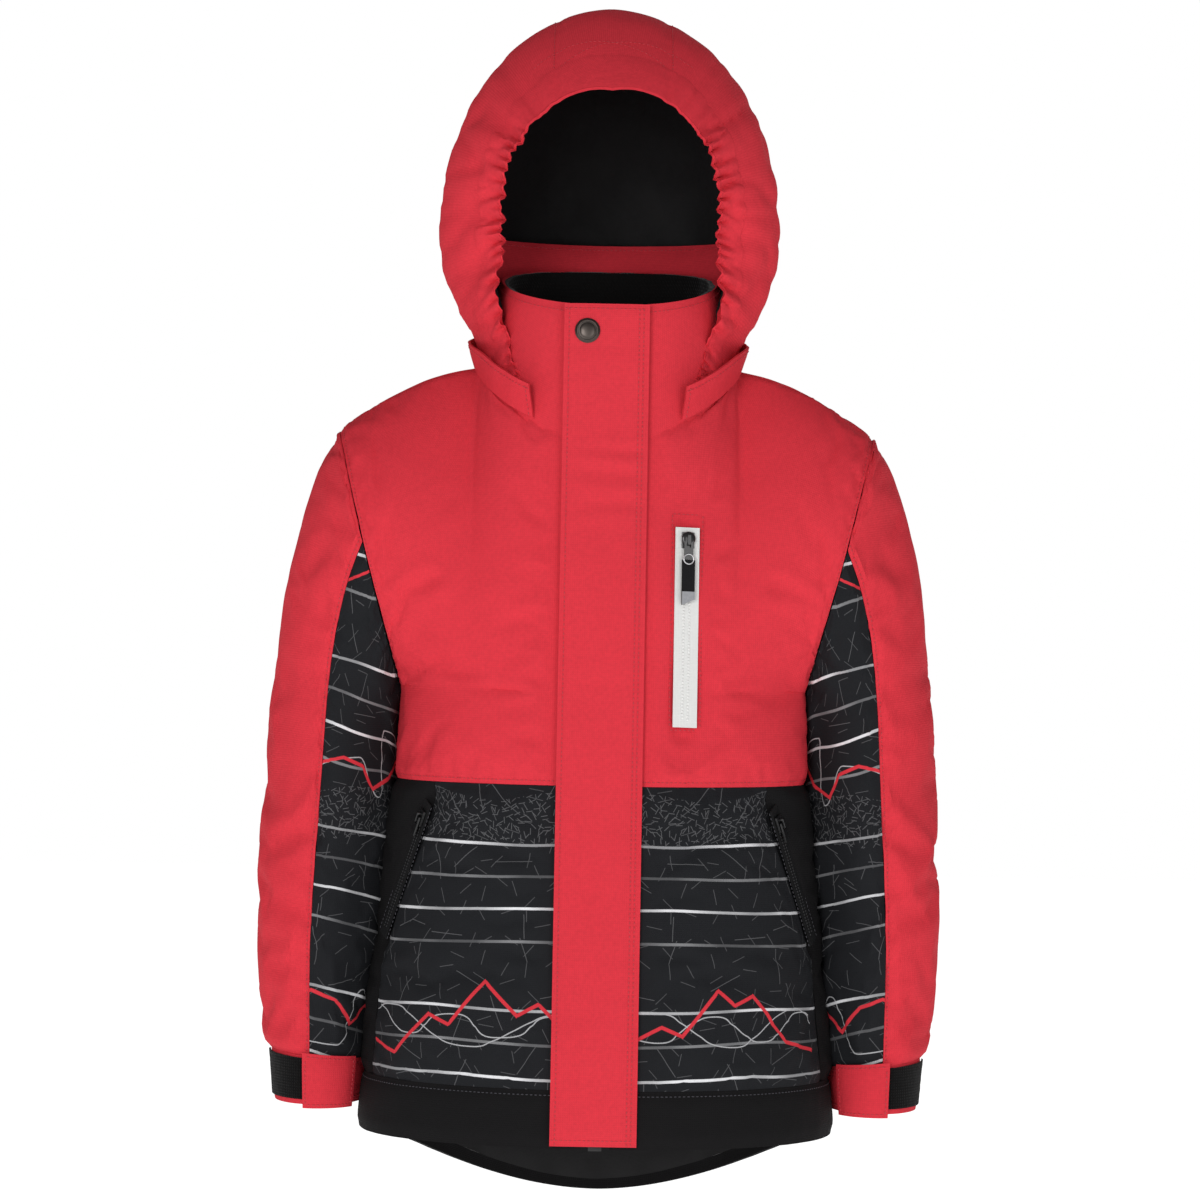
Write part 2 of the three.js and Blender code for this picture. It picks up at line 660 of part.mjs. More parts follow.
// ---------- Sleeves ----------
const panelEdge = 97; // printed inner panel meets plain outer panel, round the sleeve
const cuffTop = 1 - cuffHeight / 470;
const tiny = 0.003;
const sleeveSeam = (seam / 50) * 57.3;
const sleeveRows = 10;
const outerPanel = cloth(
  sleeve,
  sleeveOut,
  [panelEdge + sleeveSeam, 360 - panelEdge - sleeveSeam],
  [tiny, cuffTop - tiny / 2],
  shell,
  [8, sleeveRows],
);
const innerPanel = cloth(
  sleeve,
  sleeveOut,
  [-panelEdge + sleeveSeam, panelEdge - sleeveSeam],
  [tiny, cuffTop - tiny / 2],
  shell,
  [8, sleeveRows],
);
const sleeveLining = sleeveBand(sleeve, sleeveOut, [tiny, 0.985], [-9, -4.6], [16, sleeveRows]);
const cuffBand = sleeveBand(sleeve, sleeveOut, [cuffTop, 1], shell, [20, 1]);
const loopPatch = cloth(sleeve, sleeveOut, [86, 182], [cuffTop + 0.003, 0.994], [0.25, 1.3], [8, 1]);
const tabFrom = 42;
const tabTo = 104;
const tab = cloth(sleeve, sleeveOut, [tabFrom, tabTo], [cuffTop - 0.004, 1.004], [3.4, 5.2], [7, 1]);
const tabHook = cloth(sleeve, sleeveOut, [66, tabTo - 2], [cuffTop + 0.006, 0.99], [1.9, 3], [4, 1]);
for (const [side, place] of sides) {
  add("sleeve_outer_" + side, place(outerPanel), "red");
  add("sleeve_inner_" + side, place(innerPanel), "print");
  add("sleeve_lining_" + side, place(sleeveLining), "lining");
  add("cuff_band_" + side, place(cuffBand), "red");
  add("cuff_loop_patch_" + side, place(loopPatch), "hook");
  add("cuff_tab_" + side, place(tab), "red");
  add("cuff_tab_hook_" + side, place(tabHook), "hook");
}

// ---------- Hood ----------
const hoodShell = [-2.2, 0];
const hoodInside = [-8.6, -4.7];
const rimDepth = 0.09; // share of t taken by the gathered rim
// The whole dome as one closed lathe, from the pole at the back round the rim and back inside to the pole.
function dome([inner, outer], startAt, segments, rows) {
  const profile = [];
  for (let i = rows; i >= 0; i--) profile.push([lerp(startAt, 1, i / rows), outer]);
  for (let i = 0; i <= rows; i++) profile.push([lerp(startAt, 1, i / rows), inner]);
  const points = profile.map(([t, w], i) => {
    const atPole = i === 0 || i === profile.length - 1;
    return new THREE.Vector2(atPole ? 0 : 1 + i, i);
  });
  return bend(new THREE.LatheGeometry(points, segments), (x, y, z) => {
    const [t, w] = profile[Math.round(y)];
    const turn = THREE.MathUtils.radToDeg(Math.atan2(x, z));
    const p = hood(turn, t);
    return p.addScaledVector(hoodOut(p), w);
  });
}
// What lies below the hood's lower edge, as seen from the side, to cut away.
function below(edge) {
  const outline = new THREE.Shape(edge.map(([y, z]) => new THREE.Vector2(y, z)));
  outline.lineTo(300, -300);
  outline.lineTo(-300, -300);
  const slab = new THREE.ExtrudeGeometry(outline, { depth: 600, bevelEnabled: false });
  return slab.rotateX(Math.PI / 2).rotateZ(Math.PI / 2).translate(-300, 0, 0);
}
const hoodEdge = [
  [-300, -8],
  [-50, -6],
  [4, 17.5],
  [80, 30],
  [300, 30],
];
const hoodGrid = [28, 11];
const shellDome = cut(dome(hoodShell, rimDepth + 0.014, ...hoodGrid), below(hoodEdge));
const liningEdge = hoodEdge.map(([y, z]) => [y, z + 34]);
const strip = block(2 * centrePanelHalf, 600, 600, 0, 0, 100);
const stripGap = block(2 * centrePanelHalf + 4 * seam, 600, 600, 0, 0, 100);
const sidesOnly = cut(shellDome, stripGap);
const halfSpace = block(300, 600, 900, 150, 0, 100);
add("hood_centre_panel", keep(shellDome, strip), "red");
add("hood_side_left", keep(sidesOnly, halfSpace), "red");
add("hood_side_right", mirrored(keep(sidesOnly, halfSpace)), "red");
add("hood_lining", cut(dome(hoodInside, rimDepth + 0.014, ...hoodGrid), below(liningEdge)), "lining");
const rimEnd = 146;
add("hood_rim", cloth(hood, hoodOut, [-rimEnd, rimEnd], [0, rimDepth], [-2.2, 1.6], [28, 1]), "red");
// Upright facing round the back of the neck, inside the hood and above the collar.
function facing(turn, v) {
  const a = degToRad(turn);
  return V(lerp(82, 92, v) * Math.sin(a), 24 - lerp(62, 84, v) * Math.cos(a), lerp(74, 106, v));
}
add("hood_neck_facing", cloth(facing, collarOut, [92, 268], [0, 1], [-1.6, 0], [14, 2]), "red");

export default jacket;
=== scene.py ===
# %% [markdown]
# # A child's ski jacket
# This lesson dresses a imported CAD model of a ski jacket. The CAD gives each panel its place and each
# joint its axis; here the stiff panels become cloth, with seams, stitches, gathers, quilting and a
# printed pattern. Everything is in metres, +Z up, with the front of the jacket facing -Y.

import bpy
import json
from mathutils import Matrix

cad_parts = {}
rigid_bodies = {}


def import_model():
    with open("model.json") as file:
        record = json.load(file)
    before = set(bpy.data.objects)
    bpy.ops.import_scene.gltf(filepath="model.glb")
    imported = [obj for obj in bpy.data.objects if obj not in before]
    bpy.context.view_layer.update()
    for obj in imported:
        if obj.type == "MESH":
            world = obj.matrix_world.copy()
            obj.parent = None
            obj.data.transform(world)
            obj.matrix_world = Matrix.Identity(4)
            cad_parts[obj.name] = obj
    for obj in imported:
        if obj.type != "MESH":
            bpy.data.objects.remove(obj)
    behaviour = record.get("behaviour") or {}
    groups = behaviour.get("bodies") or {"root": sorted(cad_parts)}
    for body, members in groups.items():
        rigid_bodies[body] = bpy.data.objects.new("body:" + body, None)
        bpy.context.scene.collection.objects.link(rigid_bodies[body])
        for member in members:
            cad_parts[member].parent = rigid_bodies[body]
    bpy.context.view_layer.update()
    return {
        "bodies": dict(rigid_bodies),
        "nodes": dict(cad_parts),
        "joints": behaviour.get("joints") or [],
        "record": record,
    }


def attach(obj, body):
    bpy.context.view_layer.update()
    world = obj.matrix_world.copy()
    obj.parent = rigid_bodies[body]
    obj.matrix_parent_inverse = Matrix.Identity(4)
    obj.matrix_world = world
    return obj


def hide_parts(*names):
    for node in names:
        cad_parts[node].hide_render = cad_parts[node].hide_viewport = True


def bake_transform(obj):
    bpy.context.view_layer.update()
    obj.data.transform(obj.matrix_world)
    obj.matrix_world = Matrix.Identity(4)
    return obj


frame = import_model()

import json
import math

import bpy
import numpy as np
from mathutils import Vector, noise

nodes = frame["nodes"]

# %% [markdown]
# ## Measures
# A sewing pattern starts from a few body measures, and so does this file. These are the measures that
# the CAD panels were cut to, in millimetres, so each cloth panel lands on the CAD panel it stands for.

# %% Measures in millimetres
MM = 0.001
HEM_Z, TAIL_DROP, BAND_HEIGHT = -520.0, 58.0, 39.0
YOKE_Z, UNDERARM_Z = -277.0, -213.0
CHEST_HALF, WAIST_HALF, HEM_HALF = 143.0, 155.0, 166.0
NECK_HALF, NECK_FRONT_Z, NECK_BACK_Z, NECK_BACK_Y, NECK_AXIS_Y = 88.0, -38.0, 22.0, 80.0, 4.0
COLLAR_FRONT_Z, COLLAR_BACK_Z, COLLAR_HALF, COLLAR_BACK_Y = 52.0, 84.0, 76.0, 66.0
SHOULDER = np.array([CHEST_HALF + 44, 6.0, -35.0])
UNDERARM = np.array([CHEST_HALF - 2, 6.0, UNDERARM_Z])
ARMHOLE_HALF_DEPTH = 62.0
CUFF_Z, CUFF_SHARE = -504.0, 1 - 27 / 470
GAP = 9.0  # half the channel of the front zip
FRONT_LEAN = 0.0996  # the front leans back this much for each millimetre of height
NECK_DIP = 2.6  # how late the neck line dips towards the front
HOOD_HALF, HOOD_Y, HOOD_Z, HOOD_RISE, HOOD_FALL, HOOD_REACH = 119.0, 15.0, 110.0, 153.0, 150.0, 135.0
NECK_SHARE, SIDE_SEAM, BACK_EDGE, PANEL_EDGE = 0.42, 0.26, 107.0, 97.0

print("height", COLLAR_BACK_Z - HEM_Z, "mm, chest", 2 * CHEST_HALF, "mm across")

# %% [markdown]
# ## Curves through a few points
# A tailor's curve passes smoothly through a few marked points. The same is done here in two ways: one
# curve gives a width for each height, and the other runs through space, for the edges of a sleeve.

# %% Smooth curves
def smooth(x, a, b):
    t = np.clip((np.asarray(x, float) - a) / (b - a), 0, 1)
    return t * t * (3 - 2 * t)


def ramp(points, x):
    """Value at x on a smooth curve through (x, value) points."""
    p = np.array([points[0], *points, points[-1]], float)
    found = [[], []]
    for i in range(len(points) - 1):
        t = np.linspace(0, 1, 40, endpoint=False)[:, None]
        p0, p1, p2, p3 = p[i : i + 4]
        square, cube = 2 * p0 - 5 * p1 + 4 * p2 - p3, 3 * p1 - p0 - 3 * p2 + p3
        c = 0.5 * (2 * p1 + (p2 - p0) * t + square * t**2 + cube * t**3)
        found[0].extend(c[:, 0])
        found[1].extend(c[:, 1])
    found[0].append(p[-1, 0])
    found[1].append(p[-1, 1])
    return np.interp(x, found[0], found[1])


def line_through(points):
    """A function of 0..1 that gives a place on a smooth line through points in space."""
    p = np.array(points, float)
    p = np.vstack([2 * p[0] - p[1], p, 2 * p[-1] - p[-2]])
    knots = np.concatenate([[0], np.cumsum(np.linalg.norm(np.diff(p, axis=0), axis=1) ** 0.5)])

    def at(t):
        t = np.atleast_1d(np.asarray(t, float)) * (len(p) - 3)
        i = np.clip(t.astype(int), 0, len(p) - 4)
        k = [knots[i + j] for j in range(4)]
        s = (k[1] + (t - i) * (k[2] - k[1]))[:, None]
        k = [q[:, None] for q in k]
        q = [p[i + j] for j in range(4)]

        def mix(a, b, ka, kb):
            return a * (kb - s) / (kb - ka) + b * (s - ka) / (kb - ka)

        a1, a2, a3 = mix(q[0], q[1], k[0], k[1]), mix(q[1], q[2], k[1], k[2]), mix(q[2], q[3], k[2], k[3])
        b1, b2 = mix(a1, a2, k[0], k[2]), mix(a2, a3, k[1], k[3])
        return mix(b1, b2, k[1], k[2])

    return at


def unit(p):
    return p / np.maximum(np.linalg.norm(p, axis=-1, keepdims=True), 1e-9)


def xyz(x, y, z):
    return np.stack(np.broadcast_arrays(x, y, z), axis=-1).astype(float)


print("halfway between two marks", smooth(0.5, 0, 1))

# %% [markdown]
# ## The body of the jacket
# Below the cross seam the body is a stack of level ovals, narrow in front at the zip. Above it, each
# front and the back is a patch stretched between four edges: the cross seam, the centre line, the neck
# and shoulder, and the side with its armhole. Such a patch keeps the seams exactly where they are.

# %% Body surface
def body_width(z):
    points = [(HEM_Z - TAIL_DROP - 20, HEM_HALF + 4), (HEM_Z, HEM_HALF), (-400, WAIST_HALF),
              (YOKE_Z, CHEST_HALF)]
    return ramp(points + [(UNDERARM_Z, CHEST_HALF - 1)], z)


def front_y(z):
    return -120 + FRONT_LEAN * (np.asarray(z, float) - HEM_Z)


def back_y(z):
    points = [(-598, 114), (HEM_Z, 112), (-400, 108), (YOKE_Z, 114), (-140, 120), (-40, 104),
              (NECK_BACK_Z, NECK_BACK_Y)]
    return ramp(points, z)


def ring(turn, z):
    """A level oval round the body: turn 0 is the centre front, 90 the side and 180 the centre back."""
    a = np.radians(turn)
    s, c = np.sin(a), np.cos(a)
    side = np.where(s < 0, -1.0, 1.0)
    wide = body_width(z)
    x = np.where(c >= 0, side * (GAP + (wide - GAP) * np.abs(s)), wide * s)
    return xyz(x, np.where(c >= 0, front_y(z) * c, -back_y(z) * c), z)


def hem(turn):
    t = np.abs(np.where(np.asarray(turn) > 180, np.asarray(turn) - 360, turn))
    return HEM_Z - TAIL_DROP * smooth(t, 95, 180)


def neck(turn):
    a = np.radians(turn)
    c, s = np.cos(a), np.sin(a)
    z = NECK_BACK_Z - (NECK_BACK_Z - NECK_FRONT_Z) * ((1 + c) / 2) ** NECK_DIP
    x = np.where(c > 0, GAP + (NECK_HALF - GAP) * s, NECK_HALF * s)
    front = NECK_AXIS_Y + (front_y(NECK_FRONT_Z) - NECK_AXIS_Y) * c
    return xyz(x, np.where(c > 0, front, NECK_AXIS_Y - (NECK_BACK_Y - NECK_AXIS_Y) * c), z)


ARM_UP = (SHOULDER - UNDERARM) / np.linalg.norm(SHOULDER - UNDERARM)
ARM_MID = (SHOULDER + UNDERARM) / 2
ARM_HALF = np.linalg.norm(SHOULDER - UNDERARM) / 2


def armhole(turn):
    """A flat oval: turn 0 is the underarm, 90 the front and 180 the shoulder point."""
    a = np.radians(np.asarray(turn, float))[..., None]
    return ARM_MID - ARM_UP * ARM_HALF * np.cos(a) - np.array([0, ARMHOLE_HALF_DEPTH, 0]) * np.sin(a)


def upper(front):
    """The patch from cross seam to shoulder; u is 0 at the centre and 1 at the side, v is 0 at the seam."""
    across = (lambda u: 90 * u) if front else (lambda u: 180 - 90 * u)

    def bottom(u):
        return ring(across(u), np.full_like(u, YOKE_Z))

    def top(u):
        t = np.clip((u - NECK_SHARE) / (1 - NECK_SHARE), 0, 1)
        rest = neck(np.full_like(u, 90.0)) * (1 - t[..., None]) + SHOULDER * t[..., None]
        rest[..., 2] += 9 * np.sin(np.pi * t)
        return np.where((u < NECK_SHARE)[..., None], neck(across(np.minimum(u / NECK_SHARE, 1))), rest)

    def side(v):
        low = np.clip(v / SIDE_SEAM, 0, 1)[..., None]
        start = ring(np.full_like(v, 90.0), np.full_like(v, YOKE_Z))
        arm = armhole((180 if front else -180) * np.clip((v - SIDE_SEAM) / (1 - SIDE_SEAM), 0, 1))
        return np.where((v < SIDE_SEAM)[..., None], start * (1 - low) + UNDERARM * low, arm)

    def patch(u, v):
        u, v = np.broadcast_arrays(np.asarray(u, float), np.asarray(v, float))
        flip = np.where(u < 0, -1.0, 1.0)
        u = np.abs(u)
        rise, spread = (v**2.5)[..., None], (1 - np.cos(u * np.pi / 2))[..., None]
        zero, one = np.zeros_like(u), np.ones_like(u)
        z = YOKE_Z + ((NECK_FRONT_Z if front else NECK_BACK_Z) - YOKE_Z) * v
        middle = xyz(GAP, front_y(z), z) if front else xyz(0, back_y(z), z)
        corner = (bottom(zero) * (1 - spread) + bottom(one) * spread) * (1 - rise)
        corner += (top(zero) * (1 - spread) + top(one) * spread) * rise
        p = bottom(u) * (1 - rise) + top(u) * rise + middle * (1 - spread) + side(v) * spread - corner
        p[..., 0] *= flip
        return p

    return patch


front_patch, back_patch = upper(True), upper(False)
print("underarm", front_patch(1.0, SIDE_SEAM).round(1), "shoulder point", front_patch(1.0, 1.0).round(1))

# %% [markdown]
# ## Sleeve, collar and hood
# A sleeve is a row of ovals from the armhole to the cuff. The collar stands on the neck seam. The hood is
# half a dome, drawn in at the face by its elastic and at the bottom so that it fits round the collar.

# %% Sleeve, collar and hood surfaces
def beside_body(z):
    return float(body_width(z)) * 0.984 + 1.5


OUTER_LINE = line_through([SHOULDER] + [(SHOULDER[0] + x, y, z) for x, y, z in
                                        [(17, 12, -78), (33, 18, -150), (45, 20, -280), (48, 20, -380),
                                         (39, 20, CUFF_Z)]])
INNER_LINE = line_through([UNDERARM, (UNDERARM[0] + 2.5, 12, UNDERARM_Z - 13),
                           (UNDERARM[0] + 5, 18, UNDERARM_Z - 39),
                           (beside_body(-320) + 1, 20, -320), (beside_body(-400), 20, -400),
                           (beside_body(CUFF_Z), 20, CUFF_Z)])


def sleeve(turn, t):
    """turn 0 is next to the body, 90 the front and 180 the outside; t runs from armhole to cuff."""
    turn, t = np.broadcast_arrays(np.asarray(turn, float), np.asarray(t, float))
    a, shape = np.radians(turn), t.shape
    o, i = OUTER_LINE(t.ravel()).reshape(shape + (3,)), INNER_LINE(t.ravel()).reshape(shape + (3,))
    deep = ramp([(0, ARMHOLE_HALF_DEPTH), (0.25, 61), (0.6, 55), (1, 46)], t)
    p = (o + i) / 2 - (o - i) / 2 * np.cos(a)[..., None]
    p[..., 1] -= deep * np.sin(a)
    return p


def collar(turn, v):
    turn = np.asarray(turn, float)
    a = np.radians(np.where(turn > 180, 360 - turn, turn))
    c, s = np.cos(a), np.sin(a)
    x = np.where(c > 0, GAP + (COLLAR_HALF - GAP) * s, COLLAR_HALF * s)
    y = np.where(c > 0, 2 + (front_y(COLLAR_FRONT_Z) - 2) * c, 2 - (COLLAR_BACK_Y - 2) * c)
    z = COLLAR_BACK_Z + (COLLAR_FRONT_Z - COLLAR_BACK_Z) * ((1 + c) / 2) ** 1.4
    v = np.asarray(v, float)[..., None]
    p = neck(np.degrees(a)) * (1 - v) + xyz(x, y, z) * v
    p[..., 0] *= np.where(turn > 180, -1, 1)
    return p


def collar_out(p):
    return unit(xyz(p[..., 0], p[..., 1] - NECK_AXIS_Y, 0))


def beside_collar(p, standoff):
    away = collar_out(p)
    c = -away[..., 1]
    base = NECK_BACK_Z + (NECK_FRONT_Z - NECK_BACK_Z) * ((1 + c) / 2) ** NECK_DIP
    up = np.clip((p[..., 2] - base) / 66, 0, 1)
    wide = NECK_HALF + (COLLAR_HALF - NECK_HALF) * up + np.where(c > 0, 3 * c, 0)
    front = NECK_AXIS_Y - (front_y(NECK_FRONT_Z) + (front_y(COLLAR_FRONT_Z) - front_y(NECK_FRONT_Z)) * up)
    reach = 1 / np.hypot(away[..., 0] / wide, away[..., 1] / np.where(c > 0, front, 76))
    return away * (reach + standoff)[..., None] + np.array([0, NECK_AXIS_Y, 0])


def hood(turn, t):
    """turn 0 is the crown and 180 below; t is 0 at the face and 1 at the back of the head."""
    turn, t = np.broadcast_arrays(np.asarray(turn, float), np.asarray(t, float))
    spin = np.abs(np.where(turn > 180, turn - 360, turn))
    a, split = np.radians(turn), 0.42
    rim = ramp([(0, 0.56), (62, 0.64), (102, 0.644), (130, 0.832), (147, 0.871), (181, 0.9)], spin)
    rim_y = ramp([(0, -76), (60, -62), (100, -42), (147, -50), (181, -50)], spin)
    back = np.clip(1 - t / split, 0, 1)
    lift = np.clip((t - split) / (1 - split), 0, 1) * np.pi / 2
    share = np.where(t < split, 1 - (1 - rim) * back**1.8, np.cos(lift))
    y = np.where(t < split, HOOD_Y + (rim_y - HOOD_Y) * back, HOOD_Y + HOOD_REACH * np.sin(lift))
    tall = np.where(np.cos(a) > 0, HOOD_RISE, HOOD_FALL)
    x, z = HOOD_HALF * np.sin(a) * share, HOOD_Z + tall * np.cos(a) * share
    low = np.clip((HOOD_Z - z) / 95, 0, 1.2) ** 1.3
    y = np.where(y > HOOD_Y, y + (HOOD_Y - y) * 0.36 * low, y)
    p = xyz(x, y, z)
    target = beside_collar(p, 3.1)
    rear = np.clip(y / 80, 0, 1)
    start, end = -72 - 38 * rear, -14 - 22 * rear
    s = np.clip((-z - start) / (end - start), 0, 1)
    pull = (s * s * (3 - 2 * s))[..., None]
    flat = p * (1 - pull) + target * pull
    flat[..., 2] = z
    return flat


print("hood crown", hood(0.0, 0.42).round(1), "cuff", sleeve(180.0, 1.0).round(1))

# %% [markdown]
# ## Nodes and colours
# Materials are made of nodes. One helper adds a node with its settings and links, and another turns the
# colours, given as they would be written for a screen, into the linear values that the shaders need.

# %% Material helpers
def linear(text):
    c = [int(text[i : i + 2], 16) / 255 for i in (1, 3, 5)]
    return (*[x / 12.92 if x <= 0.04045 else ((x + 0.055) / 1.055) ** 2.4 for x in c], 1.0)


def add(mat, kind, *values, out=0, named=None, **settings):
    """Adds a node with its settings and links, and gives back one of its outputs. kind is the type of node,
    or in capitals the arithmetic that a math node does. Each value is a number, a colour or another node's
    output: values fill the first sockets in their order, and named fills sockets by name."""
    node = mat.node_tree.nodes.new("ShaderNodeMath" if kind.isupper() else "ShaderNode" + kind)
    if kind.isupper():
        node.operation = kind
    for key, value in settings.items():
        setattr(node, key, value)
    for key, value in [*enumerate(values), *(named or {}).items()]:
        if isinstance(value, bpy.types.NodeSocket):
            mat.node_tree.links.new(value, node.inputs[key])
        else:
            node.inputs[key].default_value = value
    return node.outputs[out]


def new_material(name, roughness, metallic=0.0, sheen=0.0, coat=0.0):
    mat = bpy.data.materials.new(name)
    mat.use_nodes = True
    shader = mat.node_tree.nodes["Principled BSDF"]
    shader.inputs["Roughness"].default_value = roughness
    shader.inputs["Metallic"].default_value = metallic
    shader.inputs["Sheen Weight"].default_value = sheen
    shader.inputs["Coat Weight"].default_value = coat
    return mat, shader


print("mid grey is", round(linear("#808080")[0], 3), "in linear light")

# %% [markdown]
# ## Woven shell cloth
# The shell is a plain-woven polyester with a water-repellent finish: matt, a little mottled, with a thread
# just coarse enough to see. Real threads lie 0.4 mm apart, too fine to show here, so they are drawn 1.5 mm
# apart. Each cloth piece carries a UV map in metres of cloth, so threads run straight along every panel.

# %% Shell cloth
def woven(mat, shader, colour, spacing=1.5, depth=0.35, mottle=0.10):
    """Links threads, mottling and a bump to the shader. Colour is a node output or four numbers."""
    uv = add(mat, "UVMap", uv_map="cloth")
    place = add(mat, "TexCoord", out="Object")
    # A wave node at scale 1 repeats every 0.314 m.
    wave = {"Vector": uv, "Scale": 0.314 / (spacing * MM), "Distortion": 0.6, "Detail": 1.0}
    warp = add(mat, "TexWave", out="Fac", named=wave, wave_type="BANDS", bands_direction="X")
    weft = add(mat, "TexWave", out="Fac", named=wave, wave_type="BANDS", bands_direction="Y")
    threads = add(mat, "MULTIPLY", warp, weft)
    slub = add(mat, "TexNoise", named={"Vector": place, "Scale": 420.0, "Detail": 2.0})
    cloud = add(mat, "TexNoise", named={"Vector": place, "Scale": 9.0, "Detail": 4.0})
    both = add(mat, "ADD", add(mat, "MULTIPLY", slub, 0.6), add(mat, "MULTIPLY", cloud, 0.4))
    both = add(mat, "ADD", both, add(mat, "MULTIPLY", threads, 0.25))
    value = add(mat, "MapRange", both, 0.35, 0.85, 1 - mottle, 1 + mottle)
    toned = add(mat, "HueSaturation", named={"Value": value, "Color": colour})
    mat.node_tree.links.new(toned, shader.inputs["Base Color"])
    height = add(mat, "ADD", threads, add(mat, "MULTIPLY", slub, 0.8))
    bump = add(mat, "Bump", named={"Height": height, "Strength": depth, "Distance": 0.0004})
    mat.node_tree.links.new(bump, shader.inputs["Normal"])
    return mat


def shell_cloth(name, tone, roughness=0.86, sheen=0.0, **weave):
    mat, shader = new_material(name, roughness, sheen=sheen)
    shader.inputs["Specular IOR Level"].default_value = 0.14
    shader.inputs["Sheen Roughness"].default_value = 0.45
    return woven(mat, shader, linear(tone), **weave)


red_shell = shell_cloth("Red polyester shell", "#d43440")
# A slightly darker copy of the red shell, used as painted shade on the hood cover bands, the neck facing, the
# cuff bands and the cuff tabs.
red_shell_painted_shade = shell_cloth("Red polyester shell, darker as painted shade", "#d0323e")
black_shell = shell_cloth("Black polyester shell", "#131213")
quilted_lining = shell_cloth("Black taffeta lining", "#151415", roughness=0.5, sheen=0.12, spacing=1.0)
zip_tape = shell_cloth("Black zip tape", "#19191a", roughness=0.75, spacing=0.9)
white_tape = shell_cloth("White coated zip tape", "#dcdcda", roughness=0.45, spacing=1.1, mottle=0.04)
webbing = shell_cloth("Black webbing", "#161618", roughness=0.7, spacing=1.2, depth=0.6)
tab_loops = shell_cloth("Black loop tape", "#0d0c0c", roughness=0.95, sheen=0.05, spacing=2.0, depth=1.0,
                        mottle=0.35)
fleece = shell_cloth("Black brushed fleece", "#0b0a0a", roughness=1.0, sheen=0.12, spacing=2.6, depth=0.6,
                     mottle=0.3)
red_thread, thread_shader = new_material("Red polyester thread", 0.55)
thread_shader.inputs["Base Color"].default_value = linear("#b92f3a")
black_thread, thread_shader = new_material("Black polyester thread", 0.5)
thread_shader.inputs["Base Color"].default_value = linear("#35343a")

print("cloths and threads", len(bpy.data.materials))

# %% [markdown]
# ## Enamelled zinc, coil and gunmetal
# Zip sliders are zinc castings with a black enamel: smooth, glossy and slightly uneven. The stud cap is
# brass with a dark gunmetal plating. A fine speckle varies the tone and roughness of both.

# %% Metal and coil
def hard_finish(name, tone, roughness, metallic=0.0, coat=0.0, grain=260.0):
    mat, shader = new_material(name, roughness, metallic=metallic, coat=coat)
    place = add(mat, "TexCoord", out="Object")
    speck = add(mat, "TexNoise", named={"Vector": place, "Scale": grain, "Detail": 3.0})
    value = add(mat, "MapRange", speck, named={"To Min": 0.8, "To Max": 1.25})
    toned = add(mat, "HueSaturation", named={"Value": value, "Color": linear(tone)})
    mat.node_tree.links.new(toned, shader.inputs["Base Color"])
    rough = add(mat, "MapRange", speck, named={"To Min": roughness * 0.75, "To Max": roughness * 1.25})
    mat.node_tree.links.new(rough, shader.inputs["Roughness"])
    bump = add(mat, "Bump", named={"Height": speck, "Strength": 0.08, "Distance": 0.0002})
    mat.node_tree.links.new(bump, shader.inputs["Normal"])
    return mat


black_enamel = hard_finish("Black enamelled zinc", "#131314", 0.3, coat=0.4)
gunmetal = hard_finish("Gunmetal plated brass", "#4a433f", 0.34, metallic=0.85)
bright_zinc = hard_finish("Worn zinc", "#b9b9bb", 0.3, metallic=1.0)
white_coil = hard_finish("White nylon coil", "#dededc", 0.5, grain=500.0)
black_coil = hard_finish("Black nylon coil", "#1c1c1e", 0.4, grain=500.0)
grey_print = hard_finish("Grey rubber print", "#8d8e92", 0.6, grain=600.0)
print("materials", len(bpy.data.materials))

# %% [markdown]
# ## The printed cloth
# The dark cloth is screen printed. It has wavy rules across it, short scratches scattered at all angles,
# a band of dense hatching under the cross seam, thin looping lines, and one bold red line like a mountain
# ridge. The pattern is drawn in metres of cloth: V is the height on the jacket, U the distance across.

# %% Print pattern
RULE_APART, RULE_START, HATCH_HEIGHT = 0.0225, 0.3165, 0.299
INK_GROUND, INK_WHITE, INK_RED = linear("#1a1b1e"), linear("#dcdcdf"), linear("#cf323d")


